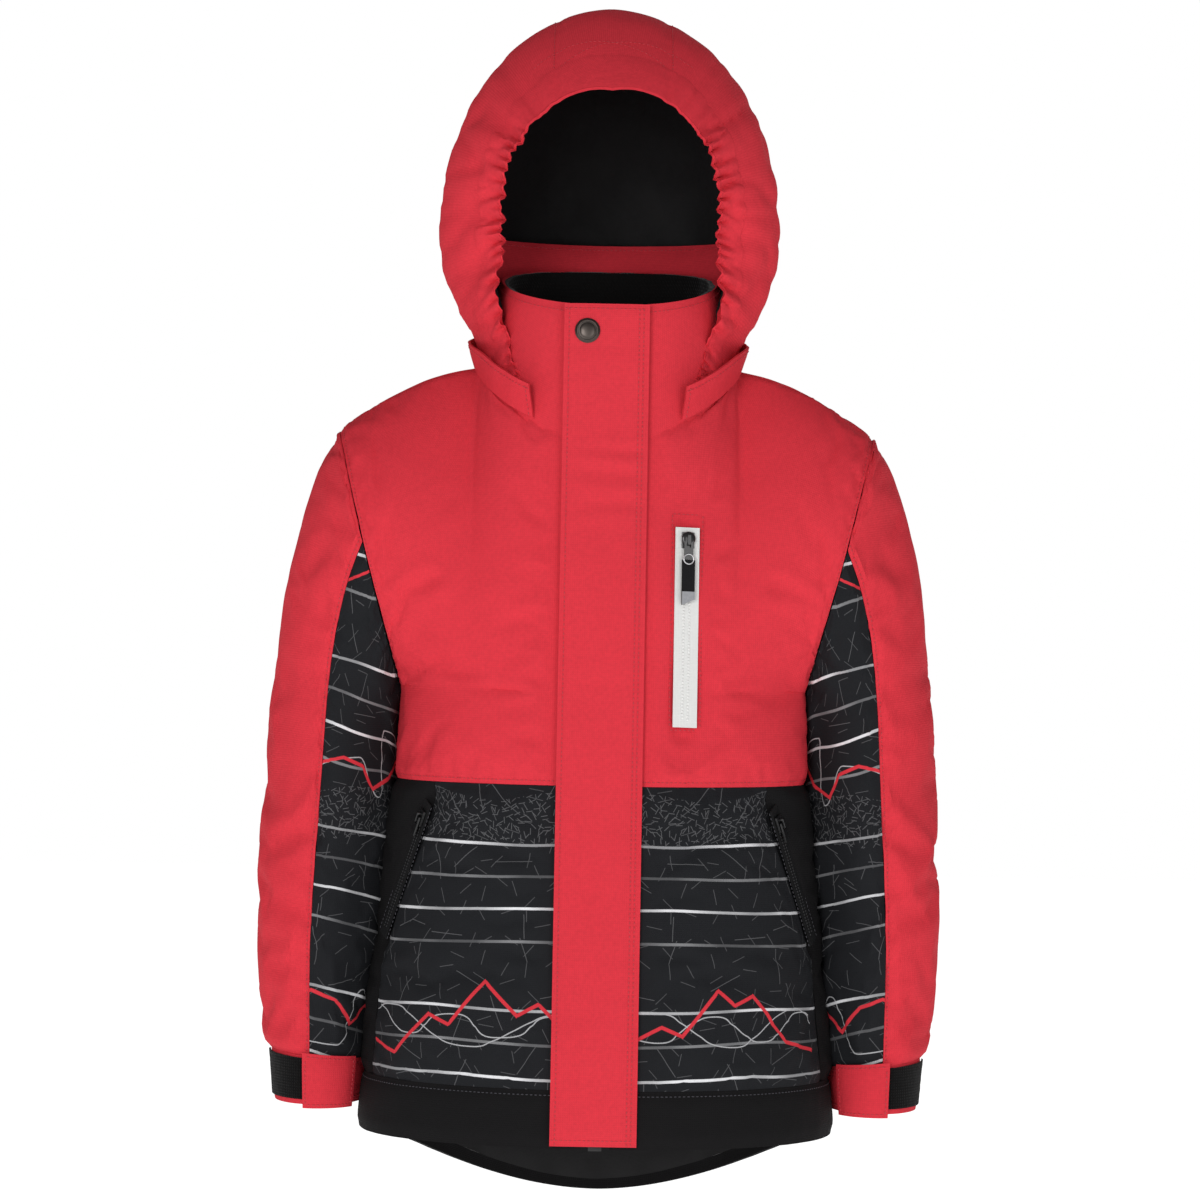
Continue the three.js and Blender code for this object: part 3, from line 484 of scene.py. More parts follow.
def printed_cloth(name, ridges, loops, slant=0.0):
    """ridges and loops hold lists of (across, height) points in millimetres; slant tilts the rules."""
    mat, shader = new_material(name, 0.82)
    shader.inputs["Specular IOR Level"].default_value = 0.16
    uv = add(mat, "UVMap", uv_map="cloth")
    u = add(mat, "SeparateXYZ", uv)
    v = u.node.outputs["Y"]
    wander = add(mat, "TexNoise", named={"Vector": uv, "Scale": 7.0, "Detail": 1.0})
    sway = add(mat, "MULTIPLY", add(mat, "SUBTRACT", wander, 0.5), 0.012 + abs(slant) * 0.05)
    level = add(mat, "ADD", add(mat, "ADD", v, sway), add(mat, "MULTIPLY", u, slant))

    def near(distance, half_width, soft=0.35):
        """1 on a line and 0 beside it; both widths are in millimetres."""
        beyond = add(mat, "SUBTRACT", add(mat, "ABSOLUTE", distance), half_width * MM)
        return add(mat, "SUBTRACT", 1.0, add(mat, "DIVIDE", beyond, soft * MM), use_clamp=True)

    # A rule is white or grey by its number, and every fifth is left out.
    step = add(mat, "DIVIDE", add(mat, "ADD", level, RULE_START), RULE_APART)
    number = add(mat, "ROUND", step)
    offset = add(mat, "MULTIPLY", add(mat, "SUBTRACT", step, number), RULE_APART)
    turn = add(mat, "FLOORED_MODULO", number, 5.0)
    shown = add(mat, "GREATER_THAN", add(mat, "ABSOLUTE", add(mat, "SUBTRACT", turn, 1.0)), 0.5)
    rule = add(mat, "MULTIPLY", near(offset, 0.75), shown)
    patch = add(mat, "TexNoise", named={"Vector": uv, "Scale": 16.0, "Detail": 2.0})
    strength = add(mat, "MapRange", patch, 0.38, 0.6, 0.35, 1.0)
    from_middle = add(mat, "ABSOLUTE", add(mat, "SUBTRACT", turn, 1.5))
    pale = add(mat, "LESS_THAN", add(mat, "ABSOLUTE", add(mat, "SUBTRACT", from_middle, 1.5)), 0.5)
    strength = add(mat, "MULTIPLY", strength, add(mat, "ADD", add(mat, "MULTIPLY", pale, 0.72), 0.28))

    def strokes(cell, length, width, turn_by=0.0):
        """One short stroke in each cell of the cloth, at an angle of its own; sizes in millimetres."""
        spread = {"Vector": uv, "Scale": 1 / (cell * MM), "Randomness": 1.0}
        place = add(mat, "TexVoronoi", out="Position", named=spread, voronoi_dimensions="2D")
        away = add(mat, "VectorMath", uv, place, operation="SUBTRACT")
        spin = add(mat, "SeparateColor", place.node.outputs["Color"])
        angle = add(mat, "MULTIPLY_ADD", spin, 6.283, turn_by)
        turned = add(mat, "VectorRotate", named={"Vector": away, "Angle": angle}, rotation_type="Z_AXIS")
        part = add(mat, "SeparateXYZ", turned)
        return add(mat, "MULTIPLY", near(part, length), near(part.node.outputs["Y"], width, 0.3))

    long_scratch = add(mat, "MULTIPLY", strokes(32, 12, 0.07), 0.12)
    scratch = add(mat, "MAXIMUM", long_scratch, add(mat, "MULTIPLY", strokes(15, 5, 0.06, 1.0), 0.10))
    top = add(mat, "DIVIDE", add(mat, "ABSOLUTE", add(mat, "ADD", v, HATCH_HEIGHT)), 0.02)
    mound = add(mat, "TexNoise", named={"Vector": uv, "Scale": 11.0})
    band = add(mat, "LESS_THAN", top, add(mat, "MULTIPLY", mound, 1.7))
    hatch = add(mat, "MAXIMUM", strokes(6, 2.3, 0.06), strokes(5, 2.0, 0.06, 2.0))
    hatch = add(mat, "MULTIPLY", add(mat, "MULTIPLY", hatch, band), 0.13)
    ink = add(mat, "MAXIMUM", add(mat, "MULTIPLY", rule, strength), add(mat, "MAXIMUM", scratch, hatch))

    def drawn(points, half_width):
        """A drawn line through the points: a thick one has corners, a thin one is smooth."""
        low, high = points[0][0] * MM, points[-1][0] * MM
        share = add(mat, "MapRange", u, low, high)
        levels = [q[1] for q in points]
        least, most = min(levels) - 1, max(levels) + 1

        def level_at(value):
            line = add(mat, "FloatCurve", named={"Value": value})
            curve = line.node.mapping.curves[0]
            curve.points[0].location = (0, (points[0][1] - least) / (most - least))
            curve.points[1].location = (1, (points[-1][1] - least) / (most - least))
            for x, y in points[1:-1]:
                curve.points.new((x * MM - low) / (high - low), (y - least) / (most - least))
            for q in curve.points:
                q.handle_type = "VECTOR" if half_width > 0.8 else "AUTO_CLAMPED"
            line.node.mapping.update()
            return add(mat, "MULTIPLY_ADD", line, (most - least) * MM, least * MM)

        # On a slope the line's height is more than its thickness, so the width grows with the slope.
        ahead = 1.0 * MM
        height = level_at(share)
        climb = add(mat, "SUBTRACT", level_at(add(mat, "ADD", share, ahead / (high - low))), height)
        steep = add(mat, "DIVIDE", climb, ahead)
        longer = add(mat, "SQRT", add(mat, "MULTIPLY_ADD", steep, steep, 1.0))
        away = add(mat, "DIVIDE", add(mat, "SUBTRACT", v, height), longer)
        inside = add(mat, "MULTIPLY", add(mat, "GREATER_THAN", u, low), add(mat, "LESS_THAN", u, high))
        return add(mat, "MULTIPLY", near(away, half_width, 0.4), inside)

    for points in loops:
        ink = add(mat, "MAXIMUM", ink, add(mat, "MULTIPLY", drawn(points, 0.16), 0.6))
    colour = add(mat, "Mix", ink, out=2, named={6: INK_GROUND, 7: INK_WHITE}, data_type="RGBA")
    for points in ridges:
        colour = add(mat, "Mix", drawn(points, 1.0), out=2, named={6: colour, 7: INK_RED}, data_type="RGBA")
    return woven(mat, shader, colour, spacing=1.3, depth=0.25, mottle=0.08)


def wave(last, level, size, turns, start):
    """A loose wave from the centre front towards the side, as 13 points in millimetres."""
    return [(x, level + size * math.sin(start + 2 * math.pi * turns * x / last))
            for x in np.linspace(8, last, 13)]


ridge_left = [(8, -452), (34, -438), (48, -444), (72, -414), (84, -424), (98, -418), (128, -450),
              (160, -458)]
ridge_right = [(8, -446), (30, -424), (44, -432), (66, -410), (92, -440), (108, -434), (140, -462),
               (170, -456)]
loops_left = [wave(162, -440, 12, 1.5, 0.0), wave(156, -440, 9, 2.0, 2.4)]
loops_right = [wave(168, -442, 12, 1.25, 1.0), wave(163, -440, 8, 2.25, 0.0)]
print_left = printed_cloth("Printed polyester, left front", [ridge_left], loops_left)
print_right = printed_cloth("Printed polyester, right front", [ridge_right], loops_right)
sleeve_ridges = [[(-70, -140), (-30, -128), (-14, -122), (4, -132), (30, -124), (70, -140)],
                 [(-80, -262), (-44, -268), (-26, -264), (-12, -276), (6, -284), (16, -268), (34, -262),
                  (80, -272)],
                 [(-80, -446), (-40, -452), (-22, -440), (-6, -436), (8, -448), (24, -430), (40, -424),
                  (80, -440)]]
sleeve_loops = [[(-80, -250), (-40, -286), (-24, -246), (-10, -244), (0, -290), (20, -262), (80, -280)],
                [(-80, -470), (-40, -420), (-20, -452), (0, -424), (20, -462), (80, -430)]]
print_sleeve = printed_cloth("Printed polyester, sleeves", sleeve_ridges, sleeve_loops, slant=-0.2)
print("print nodes", len(print_left.node_tree.nodes))

# %% [markdown]
# ## Which way is out
# Cloth has a face and a back. These functions give the outward direction at a point of the body, of a
# sleeve or of the hood, so that thickness, folds and stitches all know which side the weather is on.

# %% Outward directions
def body_out(p):
    reach = 110 * smooth(p[..., 2], -260, -110)
    core = xyz(np.clip(p[..., 0], -reach, reach), NECK_AXIS_Y, np.minimum(p[..., 2], -110))
    return unit(p - core)


def sleeve_out(p, t):
    flat = np.asarray(t, float)
    flat = np.broadcast_to(flat, p.shape[:-1]).ravel()
    middle = ((OUTER_LINE(flat) + INNER_LINE(flat)) / 2).reshape(p.shape)
    return unit(p - middle)


def hood_out(p):
    return unit(p - np.array([0, HOOD_Y, HOOD_Z]))


def cloth_noise(p, size, seed=0.0):
    """Smooth noise between -1 and 1 at each point, with lumps of about that size in millimetres."""
    flat = p.reshape(-1, 3) / size + seed * 17.3
    return np.array([noise.noise(Vector(q)) for q in flat]).reshape(p.shape[:-1])


print("out at the chest", body_out(xyz(60, -120, -200)).round(2))

# %% [markdown]
# ## A grid of cloth
# A panel starts as a flat grid primitive. Numpy holds its vertices as an array, so a whole panel can be
# laid on its surface in one step. Its UV map is measured in metres along the cloth, so that woven threads
# keep their size on every panel.

# %% Grid, places and UV map
def deselect():
    if bpy.context.object and bpy.context.object.mode != "OBJECT":
        bpy.ops.object.mode_set(mode="OBJECT")
    bpy.ops.object.select_all(action="DESELECT")


def select(obj):
    deselect()
    obj.select_set(True)
    bpy.context.view_layer.objects.active = obj


def apply_modifiers(obj):
    select(obj)
    for modifier in list(obj.modifiers):
        bpy.ops.object.modifier_apply(modifier=modifier.name)


def grid(name, cols, rows):
    """A flat grid whose vertices run along u first, then along v."""
    deselect()
    bpy.ops.mesh.primitive_grid_add(x_subdivisions=cols, y_subdivisions=rows, size=2)
    obj = bpy.context.object
    obj.name = obj.data.name = name
    flat = np.empty(len(obj.data.vertices) * 3)
    obj.data.vertices.foreach_get("co", flat)
    flat = flat.reshape(-1, 3)
    return obj, (flat[:, 0] + 1) / 2, (flat[:, 1] + 1) / 2


def set_places(obj, p):
    obj.data.vertices.foreach_set("co", (p.reshape(-1, 3) * MM).ravel())
    obj.data.update()


def set_cloth_uv(obj, u, v):
    layer = obj.data.uv_layers.get("cloth") or obj.data.uv_layers.new(name="cloth")
    obj.data.uv_layers.active = layer
    index = np.empty(len(obj.data.loops), int)
    obj.data.loops.foreach_get("vertex_index", index)
    layer.data.foreach_set("uv", np.stack([u.ravel()[index], v.ravel()[index]], -1).ravel())


print("places are in millimetres, meshes in metres:", MM)

# %% [markdown]
# ## Wrinkles from padding
# A padded panel is cut a little larger than its seams allow, and the wadding pushes it out. The cloth
# simulation does the same: the seams are pinned, negative shrinking makes the cloth grow, and pressure
# stands for the wadding. It runs for a few frames, and its result becomes the mesh.

# %% Cloth simulation
def settle(obj, places, pinned, pressure, growth, frames=18):
    """Runs the cloth simulation on the sheet and returns its new places in millimetres."""
    select(obj)
    group = obj.vertex_groups.new(name="seams")
    for i, w in enumerate(pinned.ravel()):
        if w > 0.01:
            group.add([i], float(w), "REPLACE")
    modifier = obj.modifiers.new("padding", "CLOTH")
    s = modifier.settings
    s.quality, s.mass, s.vertex_group_mass = 6, 0.15, "seams"
    s.tension_stiffness = s.compression_stiffness = 15
    s.shear_stiffness, s.bending_stiffness = 5, 0.25
    s.shrink_min = -growth
    s.use_pressure, s.uniform_pressure_force = True, pressure
    s.effector_weights.gravity = 0
    modifier.collision_settings.use_collision = False
    scene = bpy.context.scene
    for f in range(1, frames + 1):
        scene.frame_set(f)
    shape = obj.evaluated_get(bpy.context.evaluated_depsgraph_get()).to_mesh()
    flat = np.empty(len(shape.vertices) * 3)
    shape.vertices.foreach_get("co", flat)
    obj.modifiers.remove(modifier)
    scene.frame_set(1)
    return flat.reshape(places.shape) / MM


print("a full run", "of the simulation")

# %% [markdown]
# ## Sewing a panel
# Each vertex is laid on the panel's surface, lowered along the seams so that the padding swells between
# them, puckered where the thread pulls, and creased where the jacket folds. Then the simulation runs. A
# calm map keeps the cloth flat under zips and patches, and a sink map turns it in round a zip.

# %% Panel maker
# A tape, a strip or a lining is not puffed up and has no drawn-in seams.
FLAT = {"seams": (0, 0, 0, 0), "puff": 0}


class Panel:
    """A sewn piece: its object, and a way to find any place on its finished face."""

    def __init__(self, obj, places, outs):
        self.obj, self.places, self.outs = obj, places, outs

    def at(self, u, v, rise=0.0):
        rows, cols = self.places.shape[0] - 1, self.places.shape[1] - 1
        x, y = np.clip(np.asarray(u, float), 0, 1) * cols, np.clip(np.asarray(v, float), 0, 1) * rows
        i, j = np.minimum(x.astype(int), cols - 1), np.minimum(y.astype(int), rows - 1)
        fx, fy = (x - i)[..., None], (y - j)[..., None]
        found = []
        for g in (self.places, self.outs):
            low = g[j, i] * (1 - fx) + g[j, i + 1] * fx
            high = g[j + 1, i] * (1 - fx) + g[j + 1, i + 1] * fx
            found.append(low * (1 - fy) + high * fy)
        return found[0] + unit(found[1]) * rise, unit(found[1])


def join_to(obj, body, hang=None):
    if hang is None:
        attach(obj, body)
    else:
        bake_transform(obj)


def sew(name, place, out, material, slot, stands_for, body="jacket", hang=None, spacing=4.0, thick=1.4,
        seams=(1, 1, 1, 1), puff=1.6, ripple=0.6, ripple_size=38.0, pucker=0.5, lay=0.0, creases=(),
        calm=None,
        padding=None, limit=(-1.2, 4.0), level_uv=False, u_zero=0.0, closed=False, seed=0.0, sink=None):
    """place(u, v) and out(p, u, v) take arrays of 0..1. seams says how far the left, right, bottom and top
    edges are drawn in. padding is (pressure, growth) for the simulation."""
    line = np.linspace(0, 1, 40)
    wide = max(np.linalg.norm(np.diff(place(line, np.full(40, k)), axis=0), axis=1).sum()
               for k in (0.1, 0.5, 0.9))
    tall = max(np.linalg.norm(np.diff(place(np.full(40, k), line), axis=0), axis=1).sum()
               for k in (0.1, 0.5, 0.9))
    cols, rows = max(3, round(wide / spacing)), max(2, round(tall / spacing))
    obj, u, v = grid(name + "_cloth", cols, rows)
    u, v = u.reshape(rows + 1, cols + 1), v.reshape(rows + 1, cols + 1)
    base = place(u, v)
    outs = out(base, u, v)
    along_u = np.concatenate([np.zeros((rows + 1, 1)),
                              np.linalg.norm(np.diff(base, axis=1), axis=2).cumsum(1)], 1)
    along_v = np.concatenate([np.zeros((1, cols + 1)),
                              np.linalg.norm(np.diff(base, axis=0), axis=2).cumsum(0)], 0)
    edges = (along_u, along_u[:, -1:] - along_u, along_v, along_v[-1:] - along_v)
    still = calm(base) if calm else np.ones_like(u)
    height = np.full_like(u, lay) + ripple * cloth_noise(base, ripple_size, seed) * still
    height += 0.35 * ripple * cloth_noise(base, ripple_size * 0.3, seed + 3) * still
    free = np.ones_like(u)
    for side, (distance, drawn) in enumerate(zip(edges, seams)):
        if drawn:
            fall = np.exp(-((distance / 5.0) ** 2))
            free *= 1 - fall
            height -= drawn * 0.9 * fall
            run = along_v if side < 2 else along_u
            wrinkle = cloth_noise(np.stack([run, distance * 0.25, np.full_like(run, side * 40.0 + seed)],
                                           -1), 8.0)
            height += drawn * pucker * wrinkle * np.exp(-distance / 14.0) * (1 - 0.7 * fall) * still
    height += puff * free * (still if calm else 1)
    if sink:
        height -= sink(base)
    for start, end, width, depth in creases:
        start, end = np.array(start, float), np.array(end, float)
        run = (end - start) / np.dot(end - start, end - start)
        share = ((base - start) @ run)
        middle = start + np.clip(share, 0, 1)[..., None] * (end - start)
        bow = cloth_noise(base, 30, seed + 5) * width * 0.6
        away = np.linalg.norm(base - middle, axis=-1) + bow
        fade = np.clip(np.minimum(share, 1 - share) * 4 + 0.15, 0, 1)
        height -= depth * fade * (np.exp(-((away / width) ** 2)) - 0.55
                                  * np.exp(-(((away - 1.7 * width) / width) ** 2))) * still
    places = base + outs * height[..., None]
    set_places(obj, places)
    if padding:
        pinned = np.clip(1 - np.minimum.reduce([e if s else np.full_like(e, 99.0) for e,
                                                s in zip(edges, seams)]) / 5, 0, 1)
        pinned = np.maximum(pinned, 0.97 * (1 - still))
        for k, s in enumerate(seams):
            if not s and not closed:
                pinned = np.maximum(pinned, np.clip(1 - edges[k] / 5, 0, 1))
        flipped = np.sum(np.cross(places[0, 1] - places[0, 0], places[1, 0] - places[0, 0])
                         * outs[0, 0]) < 0
        moved = settle(obj, places, pinned, -padding[0] if flipped else padding[0], padding[1])
        shift = moved - places
        rise = np.sum(shift * outs, -1)
        held = np.clip(np.linalg.norm(shift, axis=-1), 1e-6, None)
        side = shift - outs * rise[..., None]
        side *= np.clip(2.0 / held, 0, 1)[..., None]
        low, high = limit
        rise = np.where(rise > 0, high * np.tanh(rise / high), low * np.tanh(rise / low)) * still
        places = places + outs * rise[..., None] + side * still[..., None]
        set_places(obj, places)
    cloth_v = base[..., 2] * MM if level_uv else along_v * MM
    set_cloth_uv(obj, (along_u - (along_u[:, -1:] * u_zero)) * MM, cloth_v)
    finish_sheet(obj, outs, thick, closed)
    obj.data.materials.append(material)
    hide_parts(*stands_for)
    join_to(obj, body, hang)
    return Panel(obj, places, outs)


def finish_sheet(obj, outs, thick, closed=False):
    """Turns the faces outward, welds a closed band and gives the cloth its thickness, inward."""
    first = obj.data.polygons[len(obj.data.polygons) // 2]
    middle = outs.reshape(-1, 3)[first.vertices[0]]
    select(obj)
    bpy.ops.object.mode_set(mode="EDIT")
    bpy.ops.mesh.select_all(action="SELECT")
    if np.dot(np.array(first.normal), middle) < 0:
        bpy.ops.mesh.flip_normals()
    if closed:
        bpy.ops.mesh.remove_doubles(threshold=0.00005)
    bpy.ops.object.mode_set(mode="OBJECT")
    if thick:
        solid = obj.modifiers.new("cloth", "SOLIDIFY")
        solid.thickness, solid.offset, solid.use_even_offset = thick * MM, -1, False
        apply_modifiers(obj)
    bpy.ops.object.shade_smooth_by_angle(angle=math.radians(50))


print("flat strips use", FLAT)

# %% [markdown]
# ## Stitches
# One stitch is modelled as a short rounded rod, and a row repeats it at an even pitch along a line on a
# finished panel. A topstitch on a jacket of this size has about eight stitches in 25 mm.

# %% One stitch and a row of them
def small_ball(segments, rings):
    """The corners and faces of a ball of radius 1, to be squashed and copied many times."""
    deselect()
    bpy.ops.mesh.primitive_uv_sphere_add(segments=segments, ring_count=rings, radius=1)
    model = bpy.context.object
    corners = np.array([q.co[:] for q in model.data.vertices])
    parts = [tuple(q.vertices) for q in model.data.polygons]
    bpy.data.objects.remove(model)
    return corners, parts


def repeated_part(name, verts, faces, material, body, hang=None):
    """One piece from the corners, in millimetres, and the faces of many small parts."""
    mesh = bpy.data.meshes.new(name)
    mesh.from_pydata([tuple(p * MM) for p in verts], [], faces)
    mesh.polygons.foreach_set("use_smooth", [True] * len(mesh.polygons))
    obj = bpy.data.objects.new(name, mesh)
    bpy.context.scene.collection.objects.link(obj)
    select(obj)
    bpy.ops.object.mode_set(mode="EDIT")
    bpy.ops.mesh.select_all(action="SELECT")
    bpy.ops.mesh.normals_make_consistent(inside=False)
    bpy.ops.object.mode_set(mode="OBJECT")
    obj.data.materials.append(material)
    join_to(obj, body, hang)
    return obj


STITCH, STITCH_FACES = small_ball(6, 4)


def stitch_rows(name, rows, material, body="jacket", hang=None, pitch=3.1, length=2.2, girth=0.42):
    """rows is a list of (points, outs) in millimetres; all the rows make one piece."""
    verts, faces = [], []
    for points, outs in rows:
        run = np.concatenate([[0], np.linalg.norm(np.diff(points, axis=0), axis=1).cumsum()])
        marks = np.arange(pitch / 2, run[-1] - pitch / 2, pitch)
        ends = [np.stack([np.interp(marks + d, run, points[:, k]) for k in range(3)], -1)
                for d in (-0.5, 0, 0.5)]
        away = unit(np.stack([np.interp(marks, run, outs[:, k]) for k in range(3)], -1))
        along = unit(ends[2] - ends[0])
        across = unit(np.cross(along, away))
        up = np.cross(across, along)
        for m, a, b, c in zip(ends[1], along, across, up):
            faces.extend(tuple(i + len(verts) for i in f) for f in STITCH_FACES)
            verts.extend(m + a * q[2] * length / 2 + b * q[0] * girth + c * q[1] * girth * 0.8
                         for q in STITCH)
    return repeated_part(name, verts, faces, material, body, hang)


def edge_row(panel, edge, inset, rise=0.15, start=0.0, end=1.0):
    """A row that runs beside an edge of a panel: edge is left, right, bottom or top; inset in millimetres."""
    s = np.linspace(start, end, 160)
    middle = panel.places[panel.places.shape[0] // 2], panel.places[:, panel.places.shape[1] // 2]
    wide = np.linalg.norm(np.diff(middle[0], axis=0), axis=1).sum()
    tall = np.linalg.norm(np.diff(middle[1], axis=0), axis=1).sum()
    if edge in ("left", "right"):
        u = np.full_like(s, inset / wide if edge == "left" else 1 - inset / wide)
        return panel.at(u, s, rise)
    v = np.full_like(s, inset / tall if edge == "bottom" else 1 - inset / tall)
    return panel.at(s, v, rise)


print("one stitch has", len(STITCH_FACES), "faces")

# %% [markdown]
# ## Where the zips lie
# Zips are straight, so each has a frame: an origin at its top, one direction down, one across and one
# out of the jacket. The chest zip stands on the left chest and the hand zips slant over the front edge
# of the side panels. The calm maps keep the cloth flat under all of them and under the storm flap.

# %% Zip frames
class Frame:
    def __init__(self, top, bottom, out):
        self.top, self.length = top, float(np.linalg.norm(bottom - top))
        self.down = unit(bottom - top)
        self.across = unit(np.cross(out, self.down))
        self.out = unit(np.cross(self.down, self.across))

    def at(self, across, out, down):
        a, o, d = np.broadcast_arrays(np.asarray(across, float), np.asarray(out, float),
                                      np.asarray(down, float))
        return self.top + a[..., None] * self.across + o[..., None] * self.out + d[..., None] * self.down


def on_front(x, z):
    u, v = 0.3, 0.5
    for _ in range(40):
        p = front_patch(u, v)
        u, v = float(np.clip(u + (x - p[0]) / 180, 0, 1)), float(np.clip(v + (z - p[2]) / 300, 0, 1))
    return front_patch(u, v)


CHEST_X, CHEST_TOP_Z, CHEST_LENGTH = 56.0, -100.0, 137.0
chest_top, chest_low = on_front(CHEST_X, CHEST_TOP_Z), on_front(CHEST_X, CHEST_TOP_Z - CHEST_LENGTH)
chest_out = body_out(chest_top) + body_out(chest_low)
chest_out[2] = 0
chest_out = unit(chest_out)
chest_zip = Frame(chest_top + 0.8 * chest_out, chest_low + 0.8 * chest_out, chest_out)
hand_top, hand_low = ring(53.0, -291.0), ring(73.5, -385.0)
hand_out = unit(body_out(hand_top) + body_out(hand_low))
hand_zips = {"left": Frame(hand_top + 1.5 * hand_out, hand_low + 1.5 * hand_out, hand_out)}
flip = np.array([-1.0, 1, 1])
hand_zips["right"] = Frame(hand_zips["left"].top * flip, (hand_low + 1.5 * hand_out) * flip,
                           hand_out * flip)
front_top, front_low = xyz(0, front_y(COLLAR_FRONT_Z), COLLAR_FRONT_Z), xyz(0, front_y(HEM_Z), HEM_Z)
front_zip = Frame(front_top, front_low, unit(np.array([0, -1, FRONT_LEAN])))
print("front zip", round(front_zip.length, 1), "chest zip", round(chest_zip.length, 1), "hand",
      round(hand_zips["left"].length, 1))


def from_line(p, frame, margin=4.0):
    """Distance in millimetres of each point from the line of a zip."""
    d = np.clip((p - frame.top) @ frame.down, -margin, frame.length + margin)
    return np.linalg.norm(p - frame.at(0, 0, d), axis=-1)


def calm_front(p):
    still = smooth(np.abs(p[..., 0]), 30, 44) * 0.8 + 0.2 * smooth(np.abs(p[..., 0]), 8, 30)
    still *= smooth(from_line(p, chest_zip), 11, 26)
    for frame in hand_zips.values():
        still *= smooth(from_line(p, frame), 9, 20)
    return still


def sink_front(p):
    """The cloth round a zip is turned in, so it lies below the tape."""
    away = from_line(p, chest_zip, 2.0)
    down = 1.2 * (1 - smooth(away, 8.5, 12)) + 2.0 * (1 - smooth(away, 5.5, 8.5))
    for frame in hand_zips.values():
        away = from_line(p, frame, 2.0)
        down = down + 1.4 * (1 - smooth(away, 6, 10)) + 1.4 * (1 - smooth(away, 4.5, 7))
    return down


# %% [markdown]
# ## The body panels
# The two chest panels and the back yoke are plain red. Below the cross seam come the printed fronts and
# back, with black side panels between them, and a black band round the hem that dips to a tail behind.

# %% Body panels
def pocket_edge(z):
    return 74 + (52.5 - 74) * smooth(z, -395, YOKE_Z)


def mirror(place):
    def other(u, v):
        return place(u, v) * flip

    return other


def as_drawn(place):
    return place


SIDES = (("left", 1, as_drawn), ("right", -1, mirror))


def on_chest(u, v):
    return front_patch(0.002 + 0.996 * u, 0.001 + 0.997 * v)


def on_lower_front(u, v):
    z = HEM_Z + BAND_HEIGHT + v * (YOKE_Z - HEM_Z - BAND_HEIGHT)
    return ring(0.1 + u * (pocket_edge(z) - 0.2), z)


def on_side(u, v):
    z = HEM_Z + BAND_HEIGHT + v * (YOKE_Z - HEM_Z - BAND_HEIGHT)
    start = pocket_edge(z) + 0.1
    turn = start + u * (BACK_EDGE - 0.1 - start)
    low = hem(turn) + BAND_HEIGHT
    return ring(turn, low + v * (YOKE_Z - low))


def on_lower_back(u, v):
    turn = BACK_EDGE + 0.1 + u * (360 - 2 * BACK_EDGE - 0.2)
    low = hem(turn) + BAND_HEIGHT
    return ring(turn, low + v * (YOKE_Z - low))


def on_yoke(u, v):
    return back_patch((0.998 - 1.996 * u), 0.002 + 0.996 * v)


def on_hem(u, v):
    turn = 0.1 + 359.8 * u
    return ring(turn, hem(turn) + v * BAND_HEIGHT)


def outward(p, u, v):
    return body_out(p)


panels = {}
for side, s, turned in SIDES:
    panels["chest_" + side] = sew(
        "chest_panel_" + side, turned(on_chest), outward, red_shell, "red", ["chest_panel_" + side],
        spacing=3.2, seams=(0, 1, 1, 0.5), calm=calm_front, sink=sink_front, puff=1.2, ripple=1.1,
        ripple_size=46, padding=(1.6, 0.022), seed=s,
        creases=[((s * 134, -60, -212), (s * 96, -85, -255), 5, 2.2),
                 ((s * 128, -50, -190), (s * 70, -95, -212), 7, 1.8),
                 ((s * 60, -80, -52), (s * 120, -52, -88), 8, 1.4),
                 ((s * 138, -40, -150), (s * 108, -70, -135), 6, 1.5)])
    panels["front_" + side] = sew(
        "lower_front_" + side, turned(on_lower_front), outward, print_left if s > 0 else print_right,
        "print", ["lower_front_" + side],
        spacing=3.2, seams=(0, 1, 1, 1), calm=calm_front, sink=sink_front, puff=1.4, ripple=1.2,
        ripple_size=52, padding=(1.8, 0.02),
        level_uv=True, u_zero=0.0, seed=2 + s,
        creases=[((s * 105, -80, -300), (s * 45, -105, -330), 8, 1.5),
                 ((s * 125, -60, -420), (s * 70, -100, -400), 9, 1.3)])
    panels["side_" + side] = sew(
        "side_panel_" + side, turned(on_side), outward, black_shell, "black", ["side_panel_" + side],
        spacing=3.4, calm=calm_front, sink=sink_front, puff=1.4, ripple=1.0, ripple_size=40,
        padding=(1.8, 0.02), level_uv=True, seed=5 + s)
panels["back"] = sew("lower_back", on_lower_back, outward, print_left, "print", ["lower_back"], spacing=4.2,
                     puff=1.8,
                     ripple=1.6, ripple_size=60, padding=(2.0, 0.025), level_uv=True, u_zero=0.5, seed=9)
panels["yoke"] = sew("back_yoke", on_yoke, outward, red_shell, "red", ["back_yoke"], spacing=4.4, puff=1.6,
                     ripple=1.6,
                     ripple_size=60, padding=(2.0, 0.025), seed=11)
panels["hem"] = sew("hem_band", on_hem, outward, black_shell, "black", ["hem_band"], spacing=3.4, thick=3.4,
                    seams=(0, 0, 1, 1), puff=1.2, ripple=1.0, ripple_size=44, pucker=0.9, seed=13)
print("body panels", len(panels))

# %% [markdown]
# ## The quilted lining
# Inside, a black taffeta lining is quilted to its wadding in diamonds. It shows at the hem, where the
# tail hangs lower than the front, and in the neck. The quilting is pressed into the sheet as crossing
# grooves. The pocket bags hang between lining and shell.

# %% Lining
DIAMOND, GROOVE_WIDTH, GROOVE_DEPTH = 46.0, 5.0, 1.6


